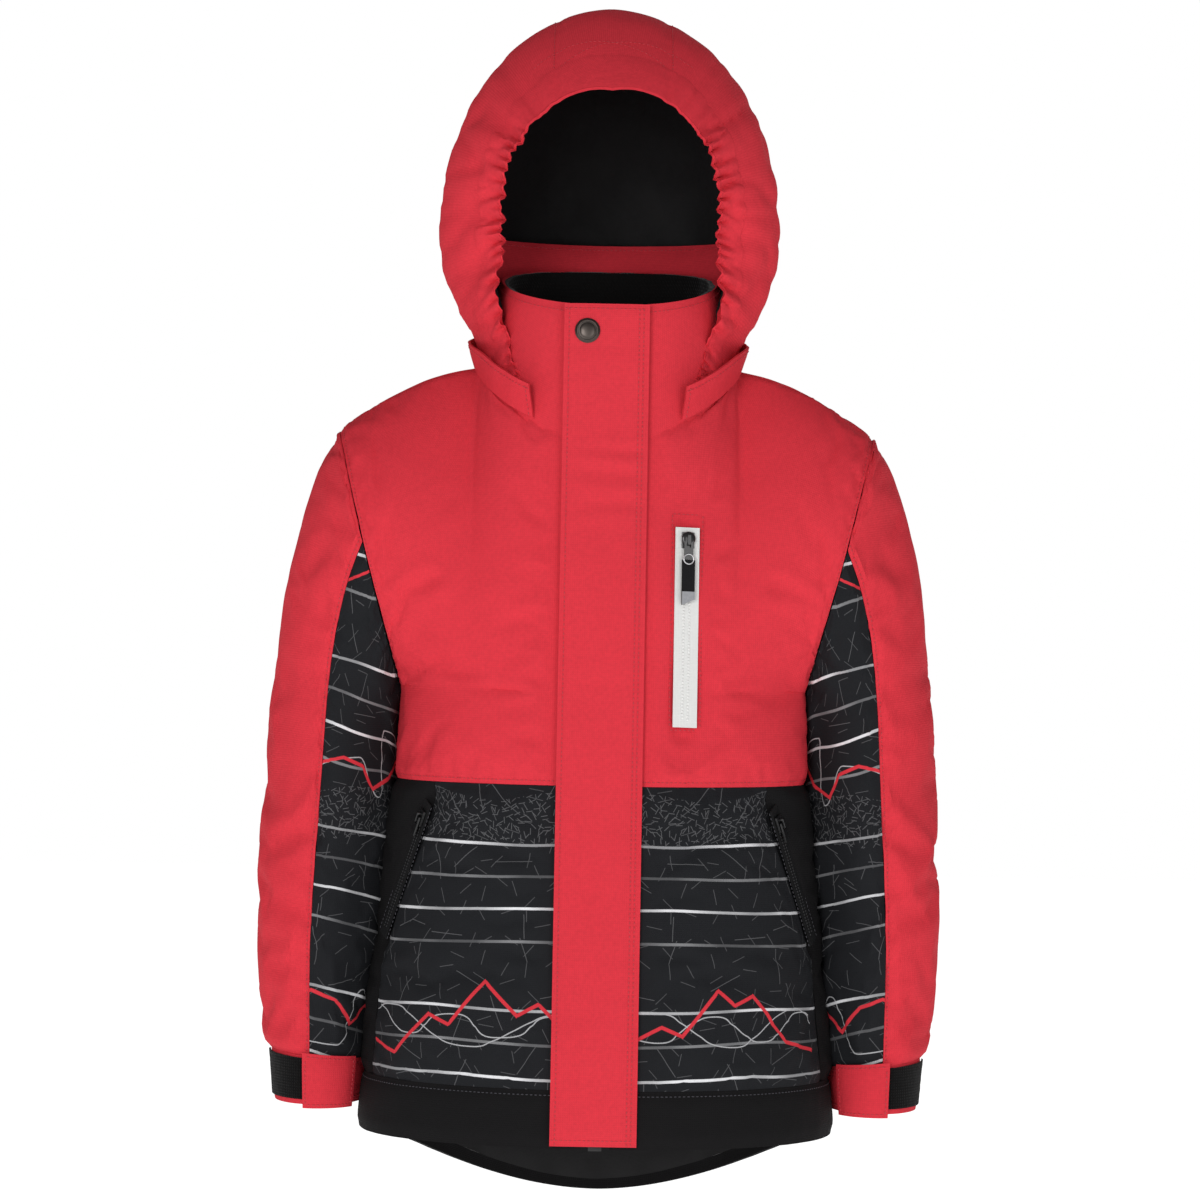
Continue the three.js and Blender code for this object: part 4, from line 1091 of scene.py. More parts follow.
def quilt(p):
    """The grooves of the quilting: two families of slanting lines, 46 mm apart."""
    across = np.degrees(np.arctan2(p[..., 0], -p[..., 1])) * 2.3
    a, b = (across + p[..., 2]) / DIAMOND, (across - p[..., 2]) / DIAMOND
    away = np.minimum(np.abs(a - np.round(a)), np.abs(b - np.round(b))) * DIAMOND
    return -GROOVE_DEPTH * np.exp(-((away / GROOVE_WIDTH) ** 2))


def below(place, depth, quilted=False):
    """The same place, that many millimetres under the face of the jacket."""
    def lower(u, v):
        p = place(u, v)
        return p - body_out(p) * (depth + (quilt(p) if quilted else np.zeros_like(u)))[..., None]

    return lower


def inward(p, u, v):
    return -body_out(p)


RING_SHARE = 6 / 16  # how much of the lining's height lies below the cross seam
LINING_DEPTH, BAG_DEPTH = 12.0, 5.6


def lining_place(turn, share, upper_patch, u):
    low = hem(turn) + 8
    level = ring(turn, low + np.clip(share / RING_SHARE, 0, 1) * (YOKE_Z - low))
    level[..., 0] *= np.where(u < 0, -1, 1)
    above = upper_patch(u, np.clip((share - RING_SHARE) / (1 - RING_SHARE), 0, 1))
    return np.where((share > RING_SHARE)[..., None], above, level)


def lining_front(u, v):
    u = 0.003 + 0.994 * u
    return lining_place(90 * u, 0.001 + 0.969 * v, front_patch, u)


def lining_back(u, v):
    across = 0.997 - 1.994 * u
    return lining_place(180 - 90 * np.abs(across), 0.001 + 0.969 * v, back_patch, across)


def hand_bag(u, v):
    return ring(22 + 62 * u, -445 + 160 * v)


def chest_bag(u, v):
    return front_patch(0.125 + 0.375 * u, 0.1 + 0.5 * v)


for side, s, turned in SIDES:
    sew("front_lining_" + side, turned(below(lining_front, LINING_DEPTH, True)), inward, quilted_lining,
        "lining",
        ["front_lining_" + side], spacing=5, thick=3.2, puff=0, ripple=0.7, pucker=0.2, seed=15)
    sew("hand_pocket_bag_" + side, turned(below(hand_bag, BAG_DEPTH)), outward, quilted_lining, "lining",
        ["hand_pocket_bag_" + side], spacing=8, thick=0.9, puff=0, ripple=0.3)
sew("back_lining", below(lining_back, LINING_DEPTH, True), inward, quilted_lining, "lining",
    ["back_lining"],
    spacing=5, thick=3.2, puff=0, ripple=0.9, pucker=0.2, seed=16)
sew("chest_pocket_bag", below(chest_bag, BAG_DEPTH), outward, quilted_lining, "lining",
    ["chest_pocket_bag"],
    spacing=8, thick=0.9, puff=0, ripple=0.3)
print("lining sewn")

# %% [markdown]
# ## Collar
# The collar stands up round the neck and is fleece inside. A loose band on each side outside its base
# covers the seam of the hood, and a hanger loop is sewn inside the back of the neck.

# %% Collar
def neck_outward(p, u, v):
    return collar_out(p)


def neck_inward(p, u, v):
    return -collar_out(p)


def on_cover(u, v):
    turn = 30 + 98 * u
    tuck = 1 - 0.8 * smooth(turn, 104, 127)
    p = collar(turn, np.full_like(u, 0.02))
    p = p + collar_out(p) * ((5.4 + 5.6 * v) * tuck)[..., None]
    p[..., 2] += (23 - 9 * smooth(turn, 55, 100)) * v * (0.4 + 0.6 * tuck)
    return p


def on_collar(u, v):
    return collar(0.1 + 359.8 * u, -0.07 + 1.07 * v)


def on_fleece(u, v):
    p = collar(0.2 + 359.6 * u, 0.05 + 0.935 * v)
    return p - collar_out(p) * 6.4


def collar_calm(p):
    return smooth(np.abs(p[..., 0]), 20, 40)


panels["collar"] = sew("collar", on_collar, neck_outward, red_shell, "red", ["collar"], spacing=3.2,
                       thick=2.2,
                       seams=(0, 0, 0.6, 0.6), puff=0.9, ripple=0.6, ripple_size=26, calm=collar_calm,
                       seed=20)
sew("collar_fleece", on_fleece, neck_inward, fleece, "fleece", ["collar_lining"], spacing=3.2, thick=3.4,
    puff=0.4, ripple=0.7, ripple_size=12, seed=21)
for side, s, turned in SIDES:
    panels["cover_" + side] = sew("hood_cover_band_" + side, turned(on_cover), neck_outward, red_shell_painted_shade,
                                  "red",
                                  ["hood_cover_band_" + side], spacing=3.0, thick=1.6,
                                  seams=(0.4, 0.4, 0, 0.5),
                                  puff=0.5, ripple=0.9, ripple_size=24, pucker=0.6, seed=22)


def on_loop(u, v):
    a = np.pi + np.pi * u
    return xyz(13 * np.cos(a), NECK_BACK_Y - 13.2 - 7 * v, NECK_BACK_Z + 12 + 13 * np.sin(a))


def loop_outward(p, u, v):
    return unit(xyz(p[..., 0], 0, p[..., 2] - NECK_BACK_Z - 12))


sew("hanger_loop", on_loop, loop_outward, webbing, "tape", ["hanger_loop"], spacing=1.6, thick=2.2, **FLAT,
    ripple=0.2, ripple_size=8)
print("collar sewn")

# %% [markdown]
# ## Sleeves
# A sleeve has a plain outer panel and a printed inner panel, then a cuff band with a strip of loop tape
# and a tab that presses onto it.

# %% Sleeves
def on_sleeve(first, last, low, high):
    def place(u, v):
        return sleeve(first + (last - first) * u, high + (low - high) * v)

    return place


def sleeve_outward(first, last, low, high):
    return lambda p, u, v: sleeve_out(p, high + (low - high) * v)


def mirror_out(out):
    return lambda p, u, v: out(p * flip, u, v) * flip


def hang_for(s):
    return ((s * 0.164, 0.006, -0.124), (s * 0.223, 0.006, -0.136))


for side, s, turned in SIDES:
    turned_out = as_drawn if s > 0 else mirror_out

    def tube(first, last, low, high):
        return turned(on_sleeve(first, last, low, high)), turned_out(sleeve_outward(first, last, low, high))

    body, hang = "sleeve_" + side, hang_for(s)
    place, out = tube(PANEL_EDGE + 0.2, 360 - PANEL_EDGE - 0.2, 0.002, CUFF_SHARE)
    panels["outer_" + side] = sew(
        "sleeve_outer_" + side, place, out, red_shell, "red", ["sleeve_outer_" + side], body, hang,
        spacing=3.8, puff=1.8,
        ripple=2.2, ripple_size=55, padding=(2.0, 0.035), limit=(-1.6, 5.0), seams=(1, 1, 1, 0.2),
        seed=30 + s,
        creases=[((s * 190, -40, -110), (s * 222, -30, -150), 8, 2.6),
                 ((s * 180, -50, -140), (s * 225, -35, -200), 9, 2.4),
                 ((s * 186, -40, -300), (s * 232, -20, -330), 9, 2.4),
                 ((s * 190, -40, -380), (s * 230, -20, -360), 8, 2.0)])
    place, out = tube(-PANEL_EDGE + 0.2, PANEL_EDGE - 0.2, 0.002, CUFF_SHARE)
    panels["inner_" + side] = sew(
        "sleeve_inner_" + side, place, out, print_sleeve, "print", ["sleeve_inner_" + side], body, hang,
        spacing=3.8, puff=1.6,
        ripple=1.8, ripple_size=45, padding=(2.0, 0.035), limit=(-1.6, 4.0), level_uv=True, u_zero=0.72,
        seed=34 + s,
        creases=[((s * 160, -55, -300), (s * 200, -45, -320), 9, 2.0),
                 ((s * 165, -50, -400), (s * 205, -45, -385), 9, 2.0)])
    place, out = tube(-179.9, 179.9, CUFF_SHARE, 1.0)
    panels["cuff_" + side] = sew(
        "cuff_band_" + side, place, out, red_shell_painted_shade, "red", ["cuff_band_" + side], body, None, spacing=2.6,
        thick=2.4,
        seams=(0, 0, 0.5, 1), puff=0.6, ripple=0.4, pucker=0.4, closed=True, seed=38 + s)
    lining = on_sleeve(-179.9, 179.9, 0.003, 0.985)
    lining_out = turned_out(sleeve_outward(-179.9, 179.9, 0.003, 0.985))

    def on_lining(u, v):
        p = lining(u, v)
        return p - sleeve_out(p, 0.985 - 0.982 * v) * 8.6

    def sleeve_inward(p, u, v):
        return -lining_out(p, u, v)

    sew("sleeve_lining_" + side, turned(on_lining), sleeve_inward, quilted_lining, "lining",
        ["sleeve_lining_" + side], body, hang, spacing=6, thick=3.6, **FLAT, ripple=1.2, ripple_size=30,
        closed=True, seed=40)

    def strip(first, last, low, high, lay):
        place, out = tube(first, last, low, high)
        return lambda u, v: place(u, v) + out(place(u, v), u, v) * lay, out

    place, out = strip(86, 182, CUFF_SHARE + 0.003, 0.994, 1.35)
    sew("cuff_loop_patch_" + side, place, out, tab_loops, "hook", ["cuff_loop_patch_" + side], body,
        spacing=1.6, thick=1.0,
        **FLAT, ripple=0.25, ripple_size=3, seed=41)
    place, out = strip(42, 104, CUFF_SHARE - 0.004, 1.004, 4.6)
    panels["tab_" + side] = sew(
        "cuff_tab_" + side, place, out, red_shell_painted_shade, "red", ["cuff_tab_" + side], "cuff_tab_" + side,
        spacing=1.8, thick=1.4,
        seams=(0.5, 0.5, 0.5, 0.5), puff=0.5, ripple=0.25, ripple_size=16, pucker=0.3, seed=42)
    place, out = strip(66, 102, CUFF_SHARE + 0.006, 0.99, 2.95)
    sew("cuff_tab_hooks_" + side, place, out, tab_loops, "hook", ["cuff_tab_hook_" + side],
        "cuff_tab_" + side, spacing=1.6,
        thick=1.0, **FLAT, ripple=0.15, ripple_size=3, seed=43)
print("sleeves sewn")

# %% [markdown]
# ## Hood
# The shell of the hood is one dome first, so that its folds run across the seams; it is then cut along
# two planes into a centre panel and two sides, as the pattern is. Elastic gathers the rim at the sides:
# folds fan back from it over the side panels.

# %% Hood dome
HOOD_EDGE = np.array([(-300, -8), (-50, -6), (4, 17.5), (80, 30), (300, 30)], float)
CENTRE_HALF, RIM_SHARE, FOLD_ROOM = 38.0, 0.09, 4.5


def lowest_turn(t, raise_by=0.0):
    """How far down each ring of the dome goes before it meets the lower edge."""
    turns = np.linspace(60, 180, 121)
    found = []
    for k in np.atleast_1d(t):
        p = hood(turns, np.full_like(turns, k))
        above = p[:, 2] - np.interp(p[:, 1], HOOD_EDGE[:, 0], HOOD_EDGE[:, 1] + raise_by)
        low = np.nonzero(above < 0)[0]
        i = low[0] if len(low) else 120
        share = above[i - 1] / (above[i - 1] - above[i]) if len(low) and i else 1.0
        found.append(turns[max(i - 1, 0)] + share if len(low) else 180.0)
    return np.array(found)


T_LINE = np.linspace(0, 1, 200)
TURN_LINE, TURN_LINE_LINING = lowest_turn(T_LINE), lowest_turn(T_LINE, 34.0)


def gather(turn, low=38.0, high=62.0):
    """How strongly the rim is gathered at a turn: not at all over the brow."""
    return smooth(np.abs(turn), low, high)


def fold_lines(turn, t, size, seed):
    """Sharp valleys that run back from the rim: 1 in the bottom of a valley, 0 between them."""
    lines = cloth_noise(np.stack([turn * 1.85, t * 55, np.zeros_like(turn)], -1), size, seed)
    return np.clip(1 - 3.0 * np.abs(lines), 0, 1) ** 1.5


def dome_height(p, turn, t):
    """How far the cloth of the hood stands off its dome."""
    pull, back = gather(turn), np.maximum(t - 0.05, 0)
    height = 1.2 * cloth_noise(p, 60, 51) + 0.6 * cloth_noise(p, 22, 52)
    height -= 5.2 * fold_lines(turn, t, 17, 54) * pull * np.exp(-back / 0.3)
    height -= 2.4 * fold_lines(turn, t, 8, 55) * pull * np.exp(-back / 0.1)
    height -= 2.4 * fold_lines(turn + 90, t * 0.6, 26, 56) * np.exp(-back / 0.6) * gather(turn, 20, 40)
    seam = np.abs(np.abs(p[..., 0]) - CENTRE_HALF)
    height += 0.9 - 0.8 * np.exp(-((seam / 3.0) ** 2))
    beside = np.stack([p[..., 2] + p[..., 1], seam * 0.3, p[..., 0] * 0.1], -1)
    height += 0.4 * cloth_noise(beside, 8, 53) * np.exp(-seam / 12)
    # No fold is deeper than the room over the lining.
    height = np.where(height < 0, -FOLD_ROOM * np.tanh(-height / FOLD_ROOM), height)
    # The sides hang full just above the collar.
    return height + 6.0 * np.exp(-(((p[..., 2] - 44) / 20) ** 2)) * smooth(np.abs(p[..., 0]), 60, 88)


dome, u, v = grid("hood_dome", 150, 84)
u, v = u.reshape(85, 151), v.reshape(85, 151)
t = 0.072 + 0.9279 * v
turn = (2 * u - 1) * np.interp(t, T_LINE, TURN_LINE)
base = hood(turn, t)
outs = hood_out(base)
set_places(dome, base + outs * dome_height(base, turn, t)[..., None])
set_cloth_uv(dome, turn * 1.9 * MM, t * 280 * MM)
finish_sheet(dome, outs, 1.8, closed=True)
dome.data.materials.append(red_shell)
HOOD_HANG = ((0, 0.086, 0.02), (0, 0.086, 0.12))
# Each cut is (side of the plane, side that is cleared away).
HOOD_CUTS = {"hood_centre_panel": [(-1, -1), (1, 1)], "hood_side_left": [(1, -1)],
             "hood_side_right": [(-1, 1)]}
for name, cuts in HOOD_CUTS.items():
    piece = dome.copy()
    piece.data = dome.data.copy()
    piece.name = piece.data.name = name + "_cloth"
    bpy.context.scene.collection.objects.link(piece)
    select(piece)
    for plane, cleared in cuts:
        bpy.ops.object.mode_set(mode="EDIT")
        bpy.ops.mesh.select_all(action="SELECT")
        bpy.ops.mesh.bisect(plane_co=(plane * CENTRE_HALF * MM, 0, 0), plane_no=(1, 0, 0), use_fill=True,
                            clear_inner=cleared < 0, clear_outer=cleared > 0)
        bpy.ops.object.mode_set(mode="OBJECT")
    bpy.ops.object.shade_smooth_by_angle(angle=math.radians(50))
    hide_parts(name)
    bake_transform(piece)
    print(name, len(piece.data.polygons), "faces")
bpy.data.objects.remove(dome)

# %% [markdown]
# The rim is a casing for elastic. Over the brow it lies smooth; down both sides the elastic draws it into
# short deep scallops. Its section runs from the outside, round the edge, to the inside.

# %% Hood rim and facing
def hood_outward(p, u, v):
    return hood_out(p)


def hood_inward(p, u, v):
    return -hood_out(p)


def on_rim(u, v):
    turn = -146 + 292 * u
    outer, inside = np.clip(v / 0.62, 0, 1), np.clip((v - 0.62) / 0.38, 0, 1)
    t = np.where(v < 0.62, 0.105 * (1 - outer**1.3), 0.05 * inside)
    p = hood(turn, t)
    rise = dome_height(p, turn, t)
    near_edge = np.where(v < 0.62, smooth(outer, 0.35, 1.0), 1 - 0.5 * inside)
    wander = cloth_noise(np.stack([turn, turn * 0, turn * 0], -1), 16, 60)
    scallop = np.abs(np.sin(np.pi * turn * 1.75 / 8.2 + 3.0 * wander)) - 0.5 + 0.5 * wander
    strength = gather(turn, 44, 62) * near_edge
    casing = rise + 0.5 - (5.5 + rise) * inside + 0.6 * np.sin(np.pi * outer)
    p = p + hood_out(p) * (casing + strength * scallop * 2.6)[..., None]
    p[..., 1] -= strength * scallop * 4.2
    return p


panels["rim"] = sew("hood_rim", on_rim, hood_outward, red_shell, "red",
                    ["hood_rim"], "hood", HOOD_HANG, spacing=1.6, thick=1.2, **FLAT, ripple=0.5,
                    ripple_size=20, seed=61)


def on_hood_lining(u, v):
    t = 0.10 + 0.8999 * v
    p = hood((2 * u - 1) * np.interp(t, T_LINE, TURN_LINE_LINING), t)
    return p - hood_out(p) * 11.2


sew("hood_lining", on_hood_lining, hood_inward, quilted_lining, "lining", ["hood_lining"], "hood",
    HOOD_HANG,
    spacing=6, thick=3.2, **FLAT, ripple=1.4, ripple_size=30, closed=True, seed=62)


def on_facing(u, v):
    a = np.radians(92 + 176 * u)
    return xyz((82 + 10 * v) * np.sin(a), 24 - (62 + 22 * v) * np.cos(a), 74 + 32 * v)


panels["facing"] = sew("hood_neck_facing", on_facing, neck_inward, red_shell_painted_shade, "red", ["hood_neck_facing"],
                       "hood", HOOD_HANG,
                       spacing=3, thick=1.4, seams=(0, 0, 0.4, 0.8), puff=0.5, ripple=0.8, ripple_size=20,
                       pucker=0.7, seed=63)
print("hood sewn")

# %% [markdown]
# ## Straight pieces
# The storm flap and the zip tapes are straight, so they are laid in their zip's frame.

# %% Storm flap and tapes
def facing_out(frame):
    def out(p, u, v):
        return np.broadcast_to(frame.out, p.shape).copy()

    return out


def strip_on(name, frame, across, down, out_by, material, slot, stands_for, body, thick, **extra):
    """A straight strip: across and down are (first, last) millimetres, and out_by is its outer face."""
    def place(u, v):
        return frame.at(across[0] + (across[1] - across[0]) * u, out_by, down[1] + (down[0] - down[1]) * v)

    return sew(name, place, facing_out(frame), material, slot, stands_for, body, thick=thick, **extra)


SNAP_ACROSS, SNAP_DOWN = -14.5, 19.0


def flap_calm(p):
    """The flap lies flat across its whole width at the press stud."""
    return smooth(np.abs((p - front_zip.at(SNAP_ACROSS, 0, SNAP_DOWN)) @ front_zip.down), 9, 22)


panels["flap"] = strip_on(
    "storm_flap", front_zip, (-30.5, 28), (0, front_zip.length - 2), 4.2, red_shell, "red", ["storm_flap"],
    "storm_flap",
    3.0, spacing=2.4, seams=(0.5, 0.9, 0.4, 0.6), puff=0.7, ripple=0.7, ripple_size=40, pucker=0.5, seed=70,
    calm=flap_calm,
    creases=[((-28, -70, -48), (26, -76, -50), 4, 0.9), ((-28, -72, -62), (26, -78, -66), 5, 0.9),
             ((-28, -76, -88), (26, -80, -84), 5, 0.8)])
strip_on("flap_hook_strip", front_zip, (-26, -14), (255, 345), -0.45, tab_loops, "hook",
         ["flap_hook_strip"],
         "storm_flap", 0.4, spacing=2, **FLAT, ripple=0.05)
for side, s, turned in SIDES:
    strip_on("zip_tape_" + side, front_zip, (s * 2.5, s * 9.0), (4, front_zip.length - 4), -4.65, zip_tape,
             "tape", ["zip_tape_" + side],
             "jacket", 0.8, spacing=2.6, **FLAT, ripple=0.08)


def teeth(name, frame, drop, length, half, out_by, material, body):
    """One coil tooth is a squashed ball of nylon; the row repeats it 2.2 mm apart on each tape."""
    shape, parts = small_ball(8, 4)
    verts, faces = [], []
    for i in range(int(length / 1.1)):
        sign = 1 if i % 2 else -1
        middle = frame.at(sign * half, out_by, drop + i * 1.1)
        faces.extend(tuple(k + len(verts) for k in q) for q in parts)
        verts.extend(middle + frame.across * q[0] * 0.8 + frame.out * q[1] * 0.45 + frame.down * q[2] * 0.85
                     for q in shape)
    return repeated_part(name, verts, faces, material, body)


teeth("main_zip_teeth", front_zip, 22, front_zip.length - 34, 1.95, -4.65, black_coil, "jacket")
strip_on("chest_zip_tape", chest_zip, (-8.5, 8.5), (0, CHEST_LENGTH), 0.35, white_tape, "white",
         ["chest_zip_tape"], "jacket", 0.8,
         spacing=2, **FLAT, ripple=0.1, ripple_size=20, seed=71)
teeth("chest_zip_teeth", chest_zip, 16, CHEST_LENGTH - 20, 1.95, 0.45, white_coil, "jacket")
for side in ("left", "right"):
    strip_on(f"hand_zip_tape_{side}", hand_zips[side], (-6, 6), (0, hand_zips[side].length), 0.35, zip_tape,
             "tape",
             [f"hand_zip_{side}_tape"], "jacket", 0.8, spacing=2, **FLAT, ripple=0.08, seed=72)
    teeth(f"hand_zip_teeth_{side}", hand_zips[side], 19, hand_zips[side].length - 24, 1.95, 0.45,
          black_coil, "jacket")

print("flap", round(front_zip.length - 2, 1), "mm long")

# %% [markdown]
# A ribbon is threaded through the chest pull so that a gloved hand can find it. Its end is cut on a
# slant and dipped in grey rubber.

# %% Ribbon
PULL_REACH, RIBBON_START, RIBBON_LENGTH = 3.45, 22.7, 31.0


def on_ribbon(u, v, rise=0.0):
    """The ribbon hangs from the pull; its lower end is slanted."""
    d = RIBBON_START + RIBBON_LENGTH * (1 - v) - np.where(v < 0.2, (0.2 - v) * 20 * u, 0)
    return chest_zip.at(-4.5 + 9 * u, PULL_REACH + 0.8 + rise, d)


def on_tip(u, v):
    return on_ribbon(u, v * 0.3, 0.25)


sew("chest_pull_ribbon", on_ribbon, facing_out(chest_zip), webbing, "webbing", ["chest_zip_ribbon"],
    "chest_pull",
    spacing=1.2, thick=1.6, **FLAT, ripple=0.1)
sew("ribbon_tip", on_tip, facing_out(chest_zip), grey_print, "webbing", [], "chest_pull", spacing=1.2,
    thick=0.4,
    **FLAT, ripple=0.05)
print("strips, teeth and ribbon made")

# %% [markdown]
# ## Topstitching
# Rows of stitches hold down every edge: two rows beside the flap's sewn edge, one along its free edge, one
# round the collar, and rows beside the cross seams, on the hem band, on the cuffs and on the hood.

# %% Topstitching
def rows_on(panel, rows):
    """Rows beside the edges of one panel, from (edge, inset) pairs."""
    return [edge_row(panels[panel], edge, inset) for edge, inset in rows]


stitch_rows("flap_stitches",
            rows_on("flap", [("right", 4.0), ("right", 7.0), ("left", 3.5), ("top", 3.5), ("bottom", 4)]),
            red_thread, "storm_flap")
red_rows = rows_on("collar", [("top", 4.0)]) + rows_on("yoke", [("bottom", 4)])
black_rows = rows_on("hem", [("top", 3.5)]) + rows_on("back", [("left", 3), ("right", 3)])
for side in ("left", "right"):
    red_rows += rows_on("chest_" + side, [("bottom", 4.0)])
    red_rows += rows_on("cover_" + side, [("top", 3.0), ("left", 3.0), ("right", 3.0)])
    red_rows.append(edge_row(panels["chest_" + side], "right", 3.0, start=0.3))
    black_rows += rows_on("side_" + side, [("right", 3)])
stitch_rows("body_stitches", red_rows, red_thread)
stitch_rows("hem_stitches", black_rows, black_thread)
for side, s, turned in SIDES:
    stitch_rows(f"cuff_stitches_{side}", rows_on("cuff_" + side, [("top", 3.0), ("bottom", 4.0)]),
                red_thread,
                "sleeve_" + side)
    stitch_rows(f"sleeve_stitches_{side}", rows_on("outer_" + side, [("left", 3.0), ("right", 3.0)]),
                red_thread,
                "sleeve_" + side, hang_for(s))
    tab_rows = [edge_row(panels["tab_" + side], e, 2.4, start=0.06, end=0.94)
                for e in ("left", "right", "top", "bottom")]
    stitch_rows(f"tab_stitches_{side}", tab_rows, red_thread, "cuff_tab_" + side)


def hood_seam_row(x):
    """Beside the seam of the centre panel, from the rim over the crown."""
    t = np.linspace(RIM_SHARE + 0.02, 0.95, 200)
    wide = hood(np.full_like(t, 90.0), t)[:, 0]
    turn = np.degrees(np.arcsin(np.clip(np.abs(x) / np.maximum(wide, 1), 0, 0.999)))
    for _ in range(6):
        turn += np.degrees((abs(x) - hood(turn, t)[:, 0]) / np.maximum(wide, 30))
        turn = np.clip(turn, 0, 88)
    turn *= np.sign(x)
    p = hood(turn, t)
    good = np.abs(np.abs(p[:, 0]) - abs(x)) < 0.8
    p, turn, t = p[good], turn[good], t[good]
    outs = hood_out(p)
    return p + outs * (dome_height(p, turn, t) + 0.15)[:, None], outs


def brim_arc(slope):
    """A row across the brim that crosses its mirror image over the centre."""
    turn = np.linspace(-34, 34, 120)
    t = 0.15 + slope * turn * 0.0013 - (turn / 34) ** 2 * 0.03
    p = hood(turn, t)
    outs = hood_out(p)
    return p + outs * (dome_height(p, turn, t) + 0.2)[:, None], outs


hood_rows = [hood_seam_row(x) for x in (-41.0, 41.0)] + [brim_arc(1), brim_arc(-1)]
stitch_rows("hood_stitches", hood_rows, red_thread, "hood", HOOD_HANG)
stitch_rows("facing_stitches", [edge_row(panels["facing"], "top", 4.0)], red_thread, "hood",
            HOOD_HANG)

# %% [markdown]
# The chest zip sits in a stitched window, with a stitched garage above it that hides the slider's end.

# %% Zip windows
def straight_row(frame, across, down):
    """A straight row in a zip's frame, on the cloth just outside the turned-in edge: across and down are
    (first, last) in millimetres."""
    a, d = np.linspace(*across, 60), np.linspace(*down, 60)
    points = frame.at(a, 0.0, d)
    return points, np.broadcast_to(frame.out, points.shape)


def window(frame, half, top, bottom, closed):
    sides = [straight_row(frame, (x, x), (top, bottom)) for x in (half, -half)]
    return sides + [straight_row(frame, (-half, half), (d, d)) for d in (top, bottom) if closed]


stitch_rows("chest_window_stitches", window(chest_zip, 10.8, -9, 139, True), red_thread)
for side, frame_of in hand_zips.items():
    stitch_rows(f"hand_window_stitches_{side}", window(frame_of, 8.6, 0, frame_of.length, False),
                black_thread)
print("zip windows stitched")

# %% [markdown]
# ## Sliders, pulls and the press stud
# The castings keep the shape of the CAD. They get their finish here, and a bevel to catch the light.

# %% Hardware
def dress(names, material, bevel=0.0003):
    for name in names:
        obj = nodes[name]
        obj.data.materials.clear()
        obj.data.materials.append(material)
        edge = obj.modifiers.new("edges", "BEVEL")
        edge.width, edge.segments, edge.limit_method = bevel, 2, "ANGLE"


dress([n for n in nodes if n.endswith(("_slider", "_box", "_pull"))], black_enamel)
dress(["snap_cap", "snap_stud"], gunmetal)


def small_part(name, place, across, out, material, slot, body, kind="torus", size=(5.0, 0.5),
               squash_by=1.0):
    """A ring or a knob of hard material, laid facing out of the cloth."""
    deselect()
    if kind == "torus":
        bpy.ops.mesh.primitive_torus_add(major_radius=size[0], minor_radius=size[1], major_segments=40,
                                         minor_segments=10)
    else:
        bpy.ops.mesh.primitive_uv_sphere_add(radius=size[0], segments=28, ring_count=14)
    obj = bpy.context.object
    obj.name = obj.data.name = name
    up = unit(np.asarray(out, float))
    x = unit(np.asarray(across, float))
    y = np.cross(up, x)
    for q in obj.data.vertices:
        p = place + x * q.co[0] + y * q.co[1] + up * q.co[2] * squash_by
        q.co = Vector(p * MM)
    bpy.ops.object.shade_smooth()
    obj.data.materials.append(material)
    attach(obj, body)
    return obj


cap_at = front_zip.at(SNAP_ACROSS, 6.0, SNAP_DOWN)
on_flap = (front_zip.across, front_zip.out, gunmetal, "snap", "storm_flap")
on_chest_zip = (chest_zip.across, chest_zip.out)
small_part("snap_ring", cap_at, *on_flap, size=(6.9, 0.65), squash_by=0.8)
small_part("snap_dome", cap_at, *on_flap, "ball", (5.6, 0), 0.2)
small_part("chest_slider_cap", chest_zip.at(0, 3.0, 8.0), *on_chest_zip, black_enamel, "trim",
           "chest_slider",
           "ball", (4.9, 0), 0.28)
small_part("chest_pull_ring", chest_zip.at(0, PULL_REACH + 0.6, RIBBON_START - 0.6), *on_chest_zip,
           bright_zinc,
           "trim", "chest_pull", size=(3.4, 0.55))
print("hardware dressed")
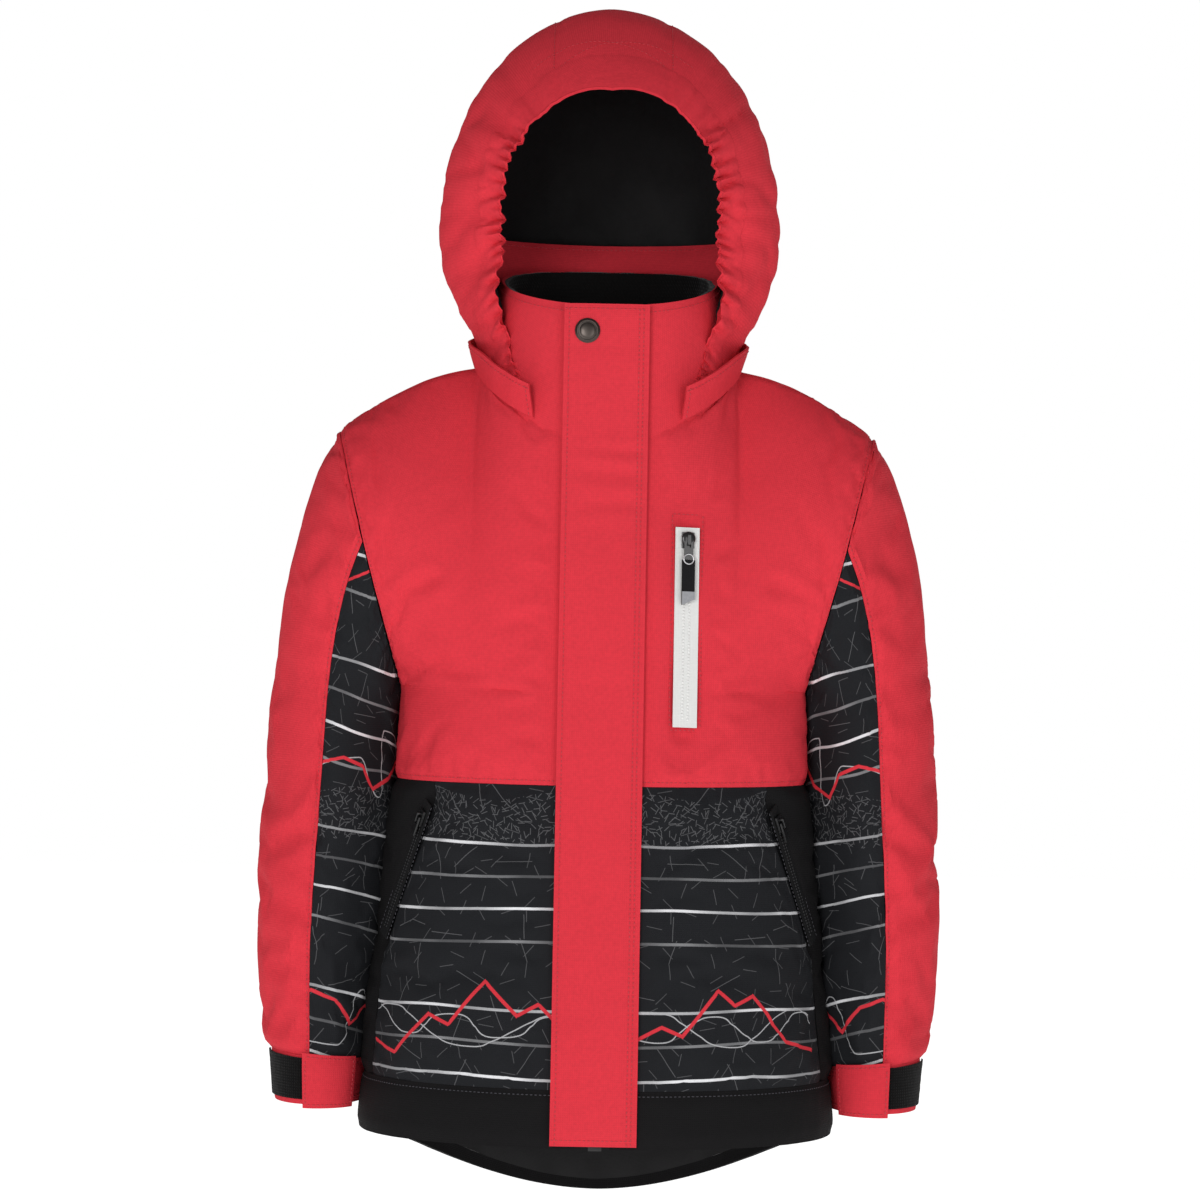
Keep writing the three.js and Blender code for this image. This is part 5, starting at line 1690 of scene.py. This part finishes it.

# %% [markdown]
# ## What is cloth
# The padded pieces and the free sheets are the panels sewn above; nothing more is done with them here.

print("cloth pieces are the sewn panels")

# %% [markdown]
# ## Studio
# The jacket hangs as on an unseen model over a white floor, with two broad soft lights near the camera.

# %% Studio
deselect()
bpy.ops.mesh.primitive_plane_add(size=12, location=(0, 0, -0.72))
floor = bpy.context.object
floor.name = floor.data.name = "studio_floor"
paper, paper_shader = new_material("White seamless paper", 0.9)
paper_shader.inputs["Base Color"].default_value = linear("#8c8c8c")
paper_shader.inputs["Emission Color"].default_value = (1, 1, 1, 1)
paper_shader.inputs["Emission Strength"].default_value = 1.0
floor.data.materials.append(paper)

# The backdrop looks white to the camera but lends the jacket only a little light.
world = bpy.data.worlds.new("studio")
bpy.context.scene.world = world
world.use_nodes = True
background = world.node_tree.nodes["Background"]
background.inputs[0].default_value = (1, 1, 1, 1)
seen = add(world, "LightPath", out="Is Camera Ray")
world.node_tree.links.new(add(world, "MapRange", seen, named={"To Min": 0.19}), background.inputs[1])


def light(name, place, target, size, power):
    data = bpy.data.lights.new(name, "AREA")
    data.shape, data.size, data.size_y, data.energy = "RECTANGLE", size[0], size[1], power
    obj = bpy.data.objects.new(name, data)
    obj.location = place
    obj.rotation_euler = (Vector(target) - Vector(place)).to_track_quat("-Z", "Y").to_euler()
    bpy.context.scene.collection.objects.link(obj)


light("key softbox", (-0.9, -2.7, 0.25), (0, 0, -0.15), (0.9, 1.3), 31.5)
light("fill softbox", (1.2, -2.5, -0.05), (0, 0, -0.2), (1.2, 1.6), 17)
light("back softbox", (0.4, 2.6, 0.8), (0, 0, -0.1), (1.6, 1.6), 14)

camera = bpy.data.cameras.new("camera")
camera.lens, camera.sensor_width, camera.clip_end = 128.6, 36.0, 40
eye = bpy.data.objects.new("camera", camera)
eye.location = (-0.0028, -3.0, -0.1505)
eye.rotation_euler = (math.radians(90), math.radians(-1.0), 0)
bpy.context.scene.collection.objects.link(eye)
bpy.context.scene.camera = eye
bpy.context.scene.view_settings.view_transform = "Standard"
